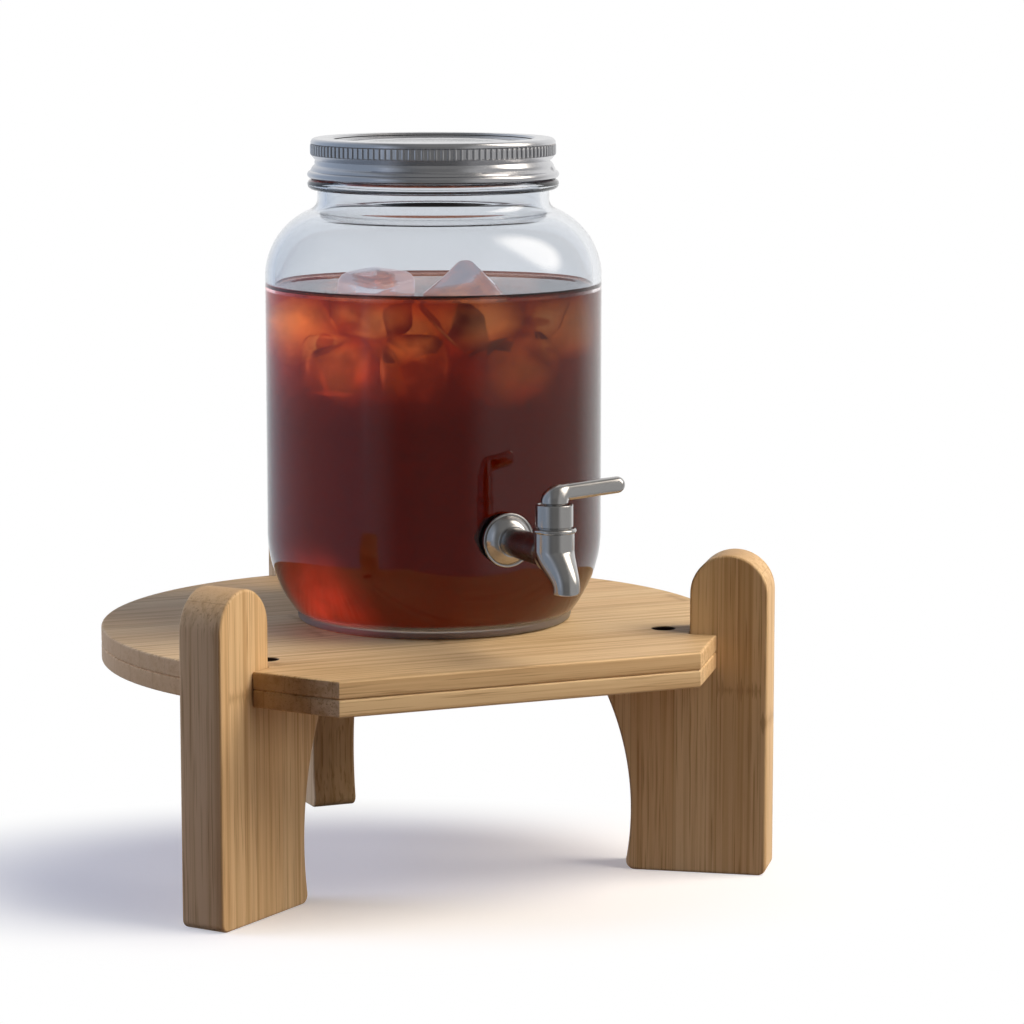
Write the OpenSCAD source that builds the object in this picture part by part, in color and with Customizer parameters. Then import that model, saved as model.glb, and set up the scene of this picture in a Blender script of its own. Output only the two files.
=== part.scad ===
// Glass beverage dispenser: a screw-lid jar with a lever tap, on a three-legged bamboo stand.
// Millimetres, +Z up, floor at z = 0, tap towards -Y.

/* [Stand plate] */
// Radius of the round plate
plate_r = 144; // [138:1:150]
// Height of the plate's upper face above the floor
plate_top_z = 111.5; // [104:0.5:130]
// Thickness of each of the two bonded boards
board_t = 8; // [7:0.5:10]
// Distance from the plate's centre to its straight front edge
front_y = 130; // [124:1:131]
// Half the length of the straight front edge
front_half = 85.5; // [80:0.5:92]
// How far past the round of the plate the cut front corners meet the legs
corner_proud = 1; // [0:0.5:5]

/* [Legs] */
// Angle of the front legs, turned forwards from the side
leg_angle = 35.5; // [30:0.5:38]
// How far the legs stand out past the round of the plate
leg_proud = 24.5; // [22:0.5:32]
// Thickness of the leg boards
leg_t = 22; // [18:0.5:25]
// Height of the round post tops above the plate
post_rise = 36.5; // [32:0.5:50]
// Width of the post above the plate
post_w = 36; // [33:1:40]
// Width of the leg at its waist
leg_waist = 63; // [58:1:68]
// Height of the waist above the floor
waist_z = 28; // [20:1:34]
// Radius of the hollow inner edge
waist_r = 132; // [120:1:150]
// Radius of the foot corners
foot_r = 4; // [3:0.5:6]
// Radius of the eased board edges
ease = 1.2; // [0.6:0.1:2.5]

/* [Plate fixing] */
// Distance of the screws from the inner edges of the posts
screw_in = 14; // [10:1:18]
// Shank diameter of the screws
screw_d = 6; // [5:0.5:6]
// Head diameter of the screws
screw_head_d = 10; // [9:0.5:11]
// Head height of the screws
screw_head_h = 5; // [4:0.5:6]
// Length of the screws under the head
screw_l = 24; // [20:1:30]
// Wood left under the screw heads
screw_seat = 5; // [4:0.5:6]
// Key size of the screw's hexagon socket
screw_key = 5; // [4:0.5:5]
// Outer diameter of the threaded inserts
insert_d = 10; // [9:0.5:12]
// Length of the threaded inserts
insert_l = 15; // [12:1:18]

/* [Jar] */
// Outer diameter of the jar
jar_d = 155; // [150:1:165]
// Thickness of the glass wall
wall = 4; // [3:0.25:4.5]
// Thickness of the glass floor at its centre
floor_t = 3.5; // [3:0.25:5]
// Height of the hollow under the floor
push_up = 3; // [2:0.25:4]
// Height at which the shoulder starts
shoulder_z = 159; // [150:1:180]
// Radius of the shoulder
shoulder_r = 33.3; // [30:0.1:36]
// Height at which the heel ends
heel_z = 41; // [38:1:44]
// Radius of the heel
heel_r = 58; // [54:1:62]
// Height of the upright foot ring
foot_h = 3.4; // [3:0.1:4]
// Radius of the neck
neck_r = 53.3; // [50:0.1:55]
// Radius of the hollow between shoulder and neck
neck_fillet = 5; // [4:0.5:7]
// Height of the plain neck
neck_h = 4.5; // [3:0.5:8]
// Section radius of the bead round the neck
bead_s = 2.4; // [2:0.1:3]
// How far the bead stands out from the neck
bead_out = 4.5; // [3.5:0.1:5]
// Height of the threaded finish above the bead
finish_h = 15; // [14:0.5:18]
// How far the finish is set in from the neck
finish_in = 0.9; // [0.6:0.1:1.2]
// Jar's place to the side of the plate's centre
jar_x = 12; // [-12:1:12]
// Jar's place behind the plate's centre
jar_back = 2; // [-6:1:3]
// Turn of the jar and its tap on the plate
jar_turn = 2; // [-6:0.5:6]

/* [Lid] */
// Thickness of the lid and band sheet
sheet_t = 0.9; // [0.7:0.1:1]
// Thickness of the sealing ring
liner_t = 1.2; // [1:0.1:1.6]
// Width of the sealing ring
liner_w = 4.6; // [4:0.1:5.4]
// Depth of the lid's middle panel below its edge
panel_drop = 1; // [0.6:0.1:1.4]
// Width of the band's top ring
band_ring_w = 10; // [6:0.5:12]
// How far the grip stands out from the thread
grip_out = 2; // [1.5:0.1:2.6]
// Height of the grip ribs
rib_h = 5; // [4:0.5:5.5]
// Depth of the grip ribs
rib_depth = 0.5; // [0.3:0.1:0.6]
// Number of grip ribs
rib_n = 120; // [90:1:132]
// Section radius of the rolled lower edge
curl_s = 1.7; // [1.4:0.1:1.9]

/* [Tap] */
// Height of the tap's shank above the jar's foot
tap_z = 47; // [45:0.5:60]
// Distance from the glass to the valve's axis
tap_out = 50; // [49:0.5:54]
// Diameter of the threaded tail
tail_d = 11; // [10.5:0.5:11.5]
// Diameter of the shank outside the flange
shank_d = 13; // [12.5:0.5:14.5]
// Diameter of the waterway
bore_d = 6.4; // [5.5:0.1:6.6]
// Length of the tail inside the glass
tail_l = 15; // [14:0.5:18]
// Diameter of the flange
flange_d = 24.5; // [23.5:0.5:27]
// Thickness of the flange
flange_t = 6.5; // [6:0.5:8]
// Thickness of the gaskets beside the glass
gasket_t = 2; // [1.8:0.1:3]
// Diameter of the gaskets
gasket_d = 22; // [21:0.5:23]
// Diameter of the clamp washer
washer_d = 21; // [20:0.5:22]
// Thickness of the clamp washer
washer_t = 1.5; // [1:0.1:2]
// Width across the flats of the lock nut
nut_af = 18; // [16:1:19]
// Thickness of the lock nut
nut_t = 5.5; // [5:0.5:6]
// Diameter of the valve body
valve_d = 17.5; // [17:0.5:19]
// Height of the valve body above the shank's axis
valve_top = 10; // [9.5:0.5:13]
// Height of the collar ring
collar_h = 2; // [1.5:0.1:2.5]
// How far the collar ring stands out
collar_out = 0.9; // [0.6:0.1:1.2]
// How far the spout reaches in front of the valve's axis
spout_out = 12; // [10:0.5:14]
// Depth of the spout's outlet below the shank's axis
spout_drop = 15.5; // [15:0.5:20]
// Outer diameter of the outlet
outlet_d = 11.8; // [11.5:0.1:13]
// Inner diameter of the outlet
outlet_bore_d = 8; // [7:0.5:8.5]

/* [Valve] */
// Diameter of the valve plug
plug_d = 10; // [9.5:0.5:10.5]
// Depth of the plug's seat below the shank's axis
plug_drop = 4.5; // [4.2:0.1:5]
// Diameter of the stem
stem_d = 7; // [6.5:0.5:7]
// Section diameter of the O-rings
o_ring_s = 1.8; // [1.6:0.1:2]
// Outer diameter of the bonnet
bonnet_d = 16.4; // [15.5:0.1:17]
// Height of the bonnet
bonnet_h = 10.5; // [10:0.5:13]
// Thickness of the bonnet's roof
bonnet_roof = 3; // [2.5:0.5:3.5]
// Thickness of the slip washer
slip_t = 1.5; // [1:0.1:2]

/* [Lever] */
// Diameter of the lever's upright root
root_d = 12; // [11.5:0.5:13]
// Diameter of the lever's arm
arm_d = 7.4; // [6.5:0.1:8]
// Distance from the stem's axis to the lever's tip
lever_l = 34; // [30:1:45]
// Slope of the arm
arm_rise = 4; // [0:1:12]
// Depth of the stem's socket in the lever
socket_h = 4.2; // [3.8:0.1:4.4]
// Diameter of the grub screw
grub_d = 2.5; // [2:0.1:2.6]

/* [Fits] */
// Gap at the sides of the leg notches
notch_fit = 0.3; // [0.2:0.05:0.5]
// Gap round screws in their clearance holes
hole_fit = 0.3; // [0.2:0.05:0.4]
// Gap between turned pieces that are fixed together
close_fit = 0.05; // [0.03:0.01:0.1]
// Gap between pieces that turn in one another
running_fit = 0.05; // [0.03:0.01:0.08]
// Gap between pieces that lift off or slide past each other
loose_fit = 0.3; // [0.2:0.05:0.4]
// Gap between the glass and the tail that passes through it
glass_fit = 0.75; // [0.5:0.05:1]
// Gap between the finish and the thread rolled in the band
thread_fit = 0.9; // [0.8:0.1:1.1]

/* [Hidden] */
$fn = 64;
eps = 0.01;
cut = 1;
plate_low_z = plate_top_z - 2 * board_t;
leg_h = plate_top_z + post_rise;
leg_turns = [90, 180 + leg_angle, -leg_angle];
notch_half = leg_t / 2 + notch_fit;
corner_r = plate_r + corner_proud;
leg_out = plate_r + leg_proud;
post_in = leg_out - post_w;
screw_at = post_in - screw_in;
hollow_u = leg_out - leg_waist - waist_r;
head_r = screw_head_d / 2 + hole_fit;
insert_top = plate_low_z - 0.5;

jar_r = jar_d / 2;
shoulder_u = jar_r - shoulder_r;
fillet_u = neck_r + neck_fillet;
fillet_z = shoulder_z + sqrt(pow(shoulder_r + neck_fillet, 2) - pow(fillet_u - shoulder_u, 2));
fillet_a = atan2(fillet_z - shoulder_z, fillet_u - shoulder_u);
heel_u = jar_r - heel_r;
foot_a = asin((foot_h - heel_z) / heel_r);
foot_u = heel_u + heel_r * cos(foot_a);
floor_z = push_up + floor_t;
floor_a = asin((floor_z - heel_z) / (heel_r - wall));
bead_z = fillet_z + neck_h + bead_s;
bead_top = bead_z + bead_s;
finish_r = neck_r - finish_in;
mouth_r = neck_r - wall;
rim_z = bead_top + finish_h;
rim_s = (finish_r - mouth_r) / 2;

lid_z = rim_z + loose_fit + liner_t;
thread_r = finish_r + thread_fit + sheet_t;
grip_r = thread_r + grip_out;
band_top = lid_z + sheet_t + loose_fit + sheet_t;
band_in = grip_r - band_ring_w;
curl_z = bead_top + loose_fit + curl_s;
curl_u = thread_r + curl_s + 0.2;
grip_low = band_top - 2.7 - rib_h;
crease_z = grip_low - 2.4;
lid_r = grip_r - sheet_t - 2.2;

flange_at = jar_r + gasket_t;
shank_at = flange_at + flange_t;
valve_at = jar_r + tap_out;
inner_at = jar_r - wall - gasket_t - 1.2;
nut_at = inner_at - washer_t - nut_t;
tail_at = jar_r - wall - tail_l;
valve_r = valve_d / 2;
collar_top = valve_top + collar_h;
bonnet_top = collar_top + bonnet_h;
slip_z = bonnet_top - bonnet_roof - slip_t;
plug_top = slip_z - loose_fit;
plug_low = -plug_drop + loose_fit;
lever_low = bonnet_top + loose_fit;
stem_top = lever_low + socket_h - loose_fit;

// Shift that puts the middle of the whole dispenser over the frame's origin
outlet_y = (valve_at + spout_out) * cos(jar_turn) + outlet_d / 2 - jar_back;
stand_y = (outlet_y - leg_out) / 2;

bamboo = "BurlyWood";
steel = "Silver";

// Points of an arc about c, from angle a0 to a1 in n steps
function arc(c, r, a0, a1, n) =
  [for (k = [0:n]) c + r * [cos(a0 + (a1 - a0) * k / n), sin(a0 + (a1 - a0) * k / n)]];

// Smooth run from 0 to 1
function smooth(t) = t * t * (3 - 2 * t);

// Solid through rings of equally many points, each ring turning left about the way they follow.
// caps lists the convex faces that close an end, by ring index, where the ring isn't convex.
module loft(rings, caps = []) {
  m = len(rings[0]);
  last = len(rings) - 1;
  ends = len(caps) > 0 ? caps : [[for (k = [0:m - 1]) k]];
  sides = [
    for (i = [0:last - 1], k = [0:m - 1])
      each [[i * m + k, (i + 1) * m + k, i * m + (k + 1) % m],
            [i * m + (k + 1) % m, (i + 1) * m + k, (i + 1) * m + (k + 1) % m]]
  ];
  far_ends = [for (face = ends) [for (k = [len(face) - 1:-1:0]) last * m + face[k]]];
  polyhedron([for (ring = rings) each ring], concat(ends, sides, far_ends));
}

// Circle of n points about c in the XZ plane's frame, its normal leaning a degrees from +Z to +X
function ring(c, a, r, n) =
  [for (k = [0:n - 1])
    [c.x + r * cos(360 * k / n) * cos(a), r * sin(360 * k / n), c.y - r * cos(360 * k / n) * sin(a)]];

module on_stand() {
  translate([0, stand_y, 0]) children();
}

module on_jar() {
  on_stand() translate([jar_x, jar_back, plate_top_z + loose_fit]) rotate(jar_turn) children();
}

// Frame along the tap's shank: z runs outwards from the jar's axis
module on_shank() {
  on_jar() translate([0, 0, tap_z]) rotate([90, 0, 0]) children();
}

// Frame at the valve: z runs up the stem from the shank's axis
module on_valve() {
  on_jar() translate([0, -valve_at, tap_z]) children();
}

module at_screws() {
  on_stand() for (turn = leg_turns) rotate(turn) translate([screw_at, 0, 0]) children();
}

// Half circle at the back, straight edge and cut corners in front, a notch for each post
module plate_outline() {
  corner_x = corner_r * cos(leg_angle) - notch_half * sin(leg_angle);
  corner_y = corner_r * sin(leg_angle) + notch_half * cos(leg_angle);
  difference() {
    union() {
      circle(plate_r, $fn = 180);
      polygon([[-front_half, -front_y], [front_half, -front_y],
               [corner_x, -corner_y], [-corner_x, -corner_y]]);
    }
    translate([-plate_r, -front_y - plate_r]) square([2 * plate_r, plate_r]);
    for (turn = leg_turns)
      rotate(turn) translate([post_in - notch_fit, -notch_half]) square([plate_r, 2 * notch_half]);
  }
}

module plate_upper() {
  color(bamboo) difference() {
    on_stand() translate([0, 0, plate_low_z + board_t]) linear_extrude(board_t) plate_outline();
    at_screws() translate([0, 0, plate_low_z]) cylinder(h = 3 * board_t, r = head_r);
  }
}

module plate_lower() {
  color(bamboo) difference() {
    on_stand() translate([0, 0, plate_low_z]) linear_extrude(board_t) plate_outline();
    at_screws() translate([0, 0, plate_low_z + screw_seat]) cylinder(h = board_t, r = head_r);
    at_screws() translate([0, 0, plate_low_z - cut]) cylinder(h = 2 * board_t, r = screw_d / 2 + hole_fit);
  }
}

// Side view of a leg, with all edges set in by i
function leg_outline(i) =
  let (
    foot_c = [hollow_u + sqrt(pow(waist_r + foot_r, 2) - pow(waist_z - foot_r, 2)), foot_r],
    hollow_c = [hollow_u, waist_z],
    hollow_a = atan2(foot_r - waist_z, foot_c.x - hollow_u),
    ledge_z = plate_low_z - i,
    tip_a = asin((ledge_z - waist_z) / (waist_r + i)),
    hollow = arc(hollow_c, waist_r + i, tip_a, hollow_a, 14)
  )
  concat(
    arc(foot_c, foot_r - i, 180 + hollow_a, 270, 4),
    arc([leg_out - foot_r, foot_r], foot_r - i, -90, 0, 4),
    arc([leg_out - post_w / 2, leg_h - post_w / 2], post_w / 2 - i, 0, 180, 18),
    [[post_in + i, ledge_z]],
    [for (k = [0:len(hollow) - 2]) hollow[k]]
  );

// Faces of a leg's side: the post over a line from foot to ledge, and a fan from the foot below it
function leg_caps() =
  let (n = len(leg_outline(0)), foot = 9, ledge = 29)
  concat(
    [[for (k = [foot:ledge]) k]],
    [for (k = [ledge:n + foot - 2]) [foot, k % n, (k + 1) % n]]
  );

// Board with a round post top, a ledge under the plate, a hollow inner edge and eased edges
module leg(turn) {
  steps = 4;
  half = [for (k = [0:steps])
    [leg_t / 2 - ease * (1 - cos(90 * k / steps)), ease * (1 - sin(90 * k / steps))]];
  sections = concat(half, [for (k = [steps:-1:0]) [-half[k][0], half[k][1]]]);
  color(bamboo) difference() {
    on_stand() rotate(turn)
      loft([for (s = sections) [for (p = leg_outline(s[1])) [p.x, s[0], p.y]]], leg_caps());
    on_stand() rotate(turn) translate([screw_at, 0, 0]) {
      translate([0, 0, insert_top - insert_l])
        cylinder(h = insert_l + cut, r = insert_d / 2 + close_fit);
      translate([0, 0, insert_top - insert_l - screw_l / 2])
        cylinder(h = screw_l, r = screw_d / 2 + hole_fit);
    }
  }
}

module leg_back() {
  leg(leg_turns[0]);
}

module leg_left() {
  leg(leg_turns[1]);
}

module leg_right() {
  leg(leg_turns[2]);
}

module plate_screws() {
  color("DimGray") at_screws() translate([0, 0, plate_low_z + screw_seat]) difference() {
    union() {
      cylinder(h = screw_head_h, d = screw_head_d);
      translate([0, 0, -screw_l]) cylinder(h = screw_l + eps, d = screw_d);
    }
    translate([0, 0, screw_head_h / 2])
      cylinder(h = screw_head_h, d = screw_key / cos(30), $fn = 6);
  }
}

module threaded_inserts() {
  color("Goldenrod") at_screws() translate([0, 0, insert_top - insert_l]) difference() {
    cylinder(h = insert_l, d = insert_d);
    translate([0, 0, -cut]) cylinder(h = insert_l + 2 * cut, r = screw_d / 2 + close_fit);
  }
}

// Section of the glass, from the middle of its underside out, up, over the rim and back inside
module jar_section() {
  heel_c = [heel_u, heel_z];
  shoulder_c = [shoulder_u, shoulder_z];
  fillet_c = [fillet_u, fillet_z];
  outside = concat(
    [[0, push_up], [foot_u - 14, push_up], [foot_u - 9, 0]],
    arc([foot_u - 2, 2], 2, -90, 0, 4),
    arc(heel_c, heel_r, foot_a, 0, 10),
    arc(shoulder_c, shoulder_r, 0, fillet_a, 14),
    arc(fillet_c, neck_fillet, 180 + fillet_a, 180, 5),
    [[neck_r, bead_z - bead_s]],
    arc([neck_r + bead_out - bead_s, bead_z], bead_s, -90, 90, 8),
    [[finish_r, bead_top]]
  );
  inside = concat(
    arc([mouth_r + rim_s, rim_z - rim_s], rim_s, 0, 180, 8),
    arc(fillet_c, neck_fillet + wall, 180, 180 + fillet_a, 5),
    arc(shoulder_c, shoulder_r - wall, fillet_a, 0, 12),
    arc(heel_c, heel_r - wall, 0, floor_a, 10),
    [[0, floor_z]]
  );
  polygon(concat(outside, inside));
}

module jar() {
  color("LightCyan", 0.35) difference() {
    on_jar() rotate_extrude() jar_section();
    on_shank() translate([0, 0, jar_r - 3 * wall]) cylinder(h = 4 * wall, r = tail_d / 2 + glass_fit);
  }
}

module lid_disc() {
  panel_r = mouth_r - 4;
  color(steel) on_jar() translate([0, 0, lid_z]) rotate_extrude() polygon([
    [0, -panel_drop], [panel_r, -panel_drop], [panel_r + 1.5, 0], [lid_r, 0], [lid_r, sheet_t],
    [panel_r + 1, sheet_t], [panel_r - 0.5, sheet_t - panel_drop], [0, sheet_t - panel_drop]
  ]);
}

module lid_liner() {
  liner_in = mouth_r + rim_s - liner_w / 2;
  color("Ivory") on_jar() translate([0, 0, lid_z - liner_t]) rotate_extrude()
    translate([liner_in, 0]) square([liner_w, liner_t]);
}

// Section of the band: top ring, rounded edge, grip, thread crease, flare and rolled lower edge
module band_section() {
  edge = 2.2;
  in = sheet_t;
  rib_seat = grip_r - rib_depth;
  polygon(concat(
    [[band_in, band_top - in], [band_in, band_top]],
    arc([grip_r - edge, band_top - edge], edge, 90, 0, 5),
    [[grip_r, grip_low + rib_h], [rib_seat, grip_low + rib_h], [rib_seat, grip_low], [grip_r, grip_low]],
    [[thread_r, crease_z], [curl_u, curl_z], [curl_u - in, curl_z], [thread_r - in, crease_z]],
    [[grip_r - in - 0.2, grip_low]],
    arc([grip_r - edge, band_top - edge], edge - in, 0, 90, 5)
  ));
  translate([curl_u, curl_z]) circle(curl_s);
}

module screw_band() {
  rib_low = grip_r - rib_depth;
  ribs = [for (k = [0:2 * rib_n - 1]) let (a = 180 * k / rib_n, r = grip_r + rib_depth * (k % 2 - 0.5))
    [r * cos(a), r * sin(a)]];
  color(steel) on_jar() union() {
    rotate_extrude() band_section();
    translate([0, 0, grip_low]) linear_extrude(rib_h) difference() {
      polygon(ribs);
      circle(rib_low);
    }
  }
}

// Cast outside of the valve and spout, from the outlet up to the collar
function spout_rings() =
  let (high = 2.5, low = spout_drop - 2.5, n = 14, out_r = outlet_d / 2)
  concat(
    [ring([spout_out, -spout_drop], 0, out_r - 0.5, 32)],
    [ring([spout_out, -spout_drop + 0.5], 0, out_r, 32)],
    [for (k = [n:-1:0]) let (t = k / n)
      ring([spout_out * smooth(t), high - (high + low) * t], -27 * sin(180 * t),
           valve_r + (out_r - valve_r) * smooth(t), 32)],
    [ring([0, valve_top + collar_h / 2], 0, valve_r, 32)]
  );

// Waterway from the plug's seat to the outlet
function water_rings() =
  let (top = plug_drop - 1, drop = spout_drop - top - 3, start = 1.5, n = 10, r = bore_d / 2)
  concat(
    [ring([spout_out, -spout_drop - cut], 0, r, 24)],
    [for (k = [n:-1:0]) let (t = k / n)
      ring([start + (spout_out - start) * smooth(t), -top - drop * t], -32 * sin(180 * t), r, 24)]
  );

// Turned tail and shank, flared where it runs into the valve body
module shank_section() {
  shank_r = shank_d / 2;
  flare_l = 7;
  flare_r = valve_r - 0.9;
  flare_at = valve_at - valve_r - flare_l / 2;
  flare = [for (k = [0:6]) let (t = k / 6)
    [shank_r + (flare_r - shank_r) * t * t, flare_at + flare_l * t]];
  polygon(concat(
    [[0, tail_at], [tail_d / 2 - 0.8, tail_at], [tail_d / 2, tail_at + 0.8], [tail_d / 2, shank_at]],
    [[shank_r, shank_at]],
    flare,
    [[flare_r, valve_at - 3], [0, valve_at + valve_r - 1]]
  ));
}

module tap_body() {
  plug_bore_r = plug_d / 2 + running_fit;
  collar_u = valve_r + collar_out - collar_h / 2;
  color(steel) difference() {
    union() {
      on_shank() rotate_extrude() shank_section();
      on_valve() rotate(-90) loft(spout_rings());
      on_valve() translate([0, 0, valve_top]) rotate_extrude()
        polygon(concat([[0, 0]], arc([collar_u, collar_h / 2], collar_h / 2, -90, 90, 8), [[0, collar_h]]));
    }
    on_shank() translate([0, 0, tail_at - cut]) cylinder(h = valve_at - tail_at + cut, d = bore_d);
    on_valve() translate([0, 0, -plug_drop]) cylinder(h = collar_top + plug_drop + cut, r = plug_bore_r);
    on_valve() rotate(-90) loft(water_rings());
    on_valve() translate([0, -spout_out, -spout_drop - cut]) cylinder(h = 3 + 2 * cut, d = outlet_bore_d);
  }
}

// Round plate with an upright rim and a swelling cone that ends round the shank
module tap_flange() {
  rim_r = flange_d / 2;
  cone_r = rim_r - 1.2;
  root_r = shank_d / 2 + 0.7;
  cone = [for (k = [0:6]) let (t = k / 6)
    [cone_r + (root_r - cone_r) * t, flange_at + 2 + (flange_t - 2.4) * t + 0.6 * sin(180 * t)]];
  color(steel) on_shank() rotate_extrude() polygon(concat(
    [[tail_d / 2 + close_fit, flange_at], [rim_r - 0.4, flange_at], [rim_r, flange_at + 0.4]],
    [[rim_r, flange_at + 1.4], [rim_r - 0.6, flange_at + 2]],
    cone,
    [[root_r, shank_at], [tail_d / 2 + close_fit, shank_at]]
  ));
}

// Round of the jar about the tap, r from the heel's centre and starting at angle a
module jar_round(r, a) {
  on_jar() rotate_extrude($fn = 180) polygon(concat(
    arc([heel_u, heel_z], r, a, 0, 10),
    [[heel_u + r, 2 * tap_z], [0, 2 * tap_z], [0, heel_z + r * sin(a)]]
  ));
}

// Soft washer in front of the glass, moulded to the jar's curve
module outer_gasket() {
  color("DarkSlateGray") difference() {
    on_shank() translate([0, 0, flange_at - 2 * gasket_t]) difference() {
      cylinder(h = 2 * gasket_t, d = gasket_d);
      translate([0, 0, -cut]) cylinder(h = 2 * gasket_t + 2 * cut, r = tail_d / 2 + hole_fit);
    }
    jar_round(heel_r + close_fit, foot_a);
  }
}

// Soft washer behind the glass, moulded to the jar's curve
module inner_gasket() {
  color("DarkSlateGray") intersection() {
    on_shank() translate([0, 0, inner_at]) difference() {
      cylinder(h = 3 * gasket_t, d = gasket_d);
      translate([0, 0, -cut]) cylinder(h = 3 * gasket_t + 2 * cut, r = tail_d / 2 + hole_fit);
    }
    jar_round(heel_r - wall - close_fit, floor_a);
  }
}

module clamp_washer() {
  color(steel) on_shank() translate([0, 0, inner_at - washer_t]) difference() {
    cylinder(h = washer_t, d = washer_d);
    translate([0, 0, -cut]) cylinder(h = washer_t + 2 * cut, r = tail_d / 2 + hole_fit);
  }
}

// Hexagon nut with turned corners
module lock_nut() {
  corner = nut_af / cos(30) / 2;
  color(steel) on_shank() translate([0, 0, nut_at]) difference() {
    intersection() {
      cylinder(h = nut_t, r = corner, $fn = 6);
      rotate_extrude() polygon([[0, 0], [corner - 1, 0], [corner, 0.8], [corner, nut_t], [0, nut_t]]);
    }
    translate([0, 0, -cut]) cylinder(h = nut_t + 2 * cut, r = tail_d / 2 + close_fit);
  }
}

module bonnet() {
  r = bonnet_d / 2;
  color(steel) on_valve() translate([0, 0, collar_top]) difference() {
    rotate_extrude() polygon([[0, 0], [r, 0], [r, bonnet_h - 0.5], [r - 0.5, bonnet_h], [0, bonnet_h]]);
    translate([0, 0, -cut]) cylinder(h = bonnet_h - bonnet_roof + cut, r = plug_d / 2 + hole_fit);
    cylinder(h = bonnet_h + cut, r = stem_d / 2 + running_fit);
  }
}

module stem_washer() {
  color("WhiteSmoke") on_valve() translate([0, 0, slip_z]) difference() {
    cylinder(h = slip_t, d = plug_d);
    translate([0, 0, -cut]) cylinder(h = slip_t + 2 * cut, r = stem_d / 2 + running_fit);
  }
}

function o_ring_heights() = [valve_top - 5, valve_top - 1];

// Plug with a port that turns towards the jar when the lever points to the front
module valve_plug() {
  groove = o_ring_s / 2 + close_fit;
  groove_r = plug_d / 2 - o_ring_s - close_fit;
  color(steel) on_valve() difference() {
    union() {
      translate([0, 0, plug_low]) cylinder(h = plug_top - plug_low, d = plug_d);
      translate([0, 0, plug_top - eps]) cylinder(h = stem_top - plug_top + eps, d = stem_d);
    }
    translate([0, 0, plug_low - cut]) cylinder(h = cut - plug_low, d = bore_d);
    rotate([0, -90, 0]) cylinder(h = plug_d, d = bore_d);
    for (z = o_ring_heights()) translate([0, 0, z - groove]) difference() {
      cylinder(h = 2 * groove, d = plug_d + cut);
      translate([0, 0, -cut]) cylinder(h = 2 * groove + 2 * cut, r = groove_r);
    }
  }
}

module plug_o_rings() {
  color("DimGray") on_valve() for (z = o_ring_heights())
    translate([0, 0, z]) rotate_extrude() translate([plug_d / 2 - o_ring_s / 2, 0]) circle(d = o_ring_s);
}

// Lever: an upright root that swings over its inner corner into a slim, round-ended arm
function lever_rings() =
  let (
    turn = 90 - arm_rise, n = 12, arm_r = arm_d / 2, root_r = root_d / 2,
    corner = [root_r + 0.4, lever_low + 0.6],
    way = [sin(turn), cos(turn)],
    elbow = corner + (arm_r + 0.4) * [-cos(turn), sin(turn)],
    tip = elbow + way * (lever_l - arm_r - elbow.x) / way.x
  )
  concat(
    [ring([0, lever_low], 0, root_r - 0.3, 24)],
    [ring([0, lever_low + 0.3], 0, root_r, 24)],
    [for (k = [0:n]) let (t = k / n, a = turn * t, r = root_r + (arm_r - root_r) * smooth(t))
      ring(corner + (r + 0.4) * [-cos(a), sin(a)], a, r, 24)],
    [for (k = [0:5]) let (b = 78 * k / 5)
      ring(tip + way * arm_r * sin(b), turn, arm_r * cos(b), 24)]
  );

module lever() {
  color(steel) on_valve() difference() {
    loft(lever_rings());
    translate([0, 0, lever_low - cut]) cylinder(h = socket_h + cut, r = stem_d / 2 + close_fit);
    translate([0, stem_d / 2 - cut, lever_low + socket_h / 2]) rotate([-90, 0, 0])
      cylinder(h = root_d, r = grub_d / 2 + close_fit);
  }
}

module lever_screw() {
  grub_l = root_d / 2 - stem_d / 2 - 2 * close_fit - 0.4;
  color("DimGray") on_valve() translate([0, stem_d / 2 + 2 * close_fit, lever_low + socket_h / 2])
    rotate([-90, 0, 0]) difference() {
      cylinder(h = grub_l, d = grub_d);
      translate([0, 0, grub_l / 2]) cylinder(h = grub_l, d = grub_d / 2, $fn = 6);
    }
}

plate_upper();
plate_lower();
leg_left();
leg_right();
leg_back();
plate_screws();
threaded_inserts();
jar();
lid_disc();
lid_liner();
screw_band();
tap_body();
tap_flange();
outer_gasket();
inner_gasket();
clamp_washer();
lock_nut();
bonnet();
stem_washer();
valve_plug();
plug_o_rings();
lever();
lever_screw();
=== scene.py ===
import math

import bmesh
import bpy
import numpy
from mathutils import Matrix, Vector


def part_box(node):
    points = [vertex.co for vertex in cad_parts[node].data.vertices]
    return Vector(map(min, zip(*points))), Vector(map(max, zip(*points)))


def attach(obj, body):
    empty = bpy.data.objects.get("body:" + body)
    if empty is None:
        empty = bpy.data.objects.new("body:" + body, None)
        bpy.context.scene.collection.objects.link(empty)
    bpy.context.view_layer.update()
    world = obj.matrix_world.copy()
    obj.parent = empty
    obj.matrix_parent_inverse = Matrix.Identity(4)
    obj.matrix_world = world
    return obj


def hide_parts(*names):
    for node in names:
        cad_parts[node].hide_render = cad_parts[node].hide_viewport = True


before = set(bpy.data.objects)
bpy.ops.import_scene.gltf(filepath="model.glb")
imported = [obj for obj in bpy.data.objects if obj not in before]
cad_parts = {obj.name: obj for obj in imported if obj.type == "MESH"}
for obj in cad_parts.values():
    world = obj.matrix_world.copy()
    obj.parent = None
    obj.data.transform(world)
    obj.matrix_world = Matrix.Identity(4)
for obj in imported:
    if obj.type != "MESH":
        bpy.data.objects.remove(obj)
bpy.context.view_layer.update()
mm = 0.001  # sizes below are in millimetres, Blender works in metres
print("frame loaded:", len(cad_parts), "nodes")


def linear(hexColour):
    parts = [int(hexColour[i:i + 2], 16) / 255 for i in (1, 3, 5)]
    return [p / 12.92 if p <= 0.04045 else ((p + 0.055) / 1.055) ** 2.4 for p in parts] + [1.0]


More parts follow.
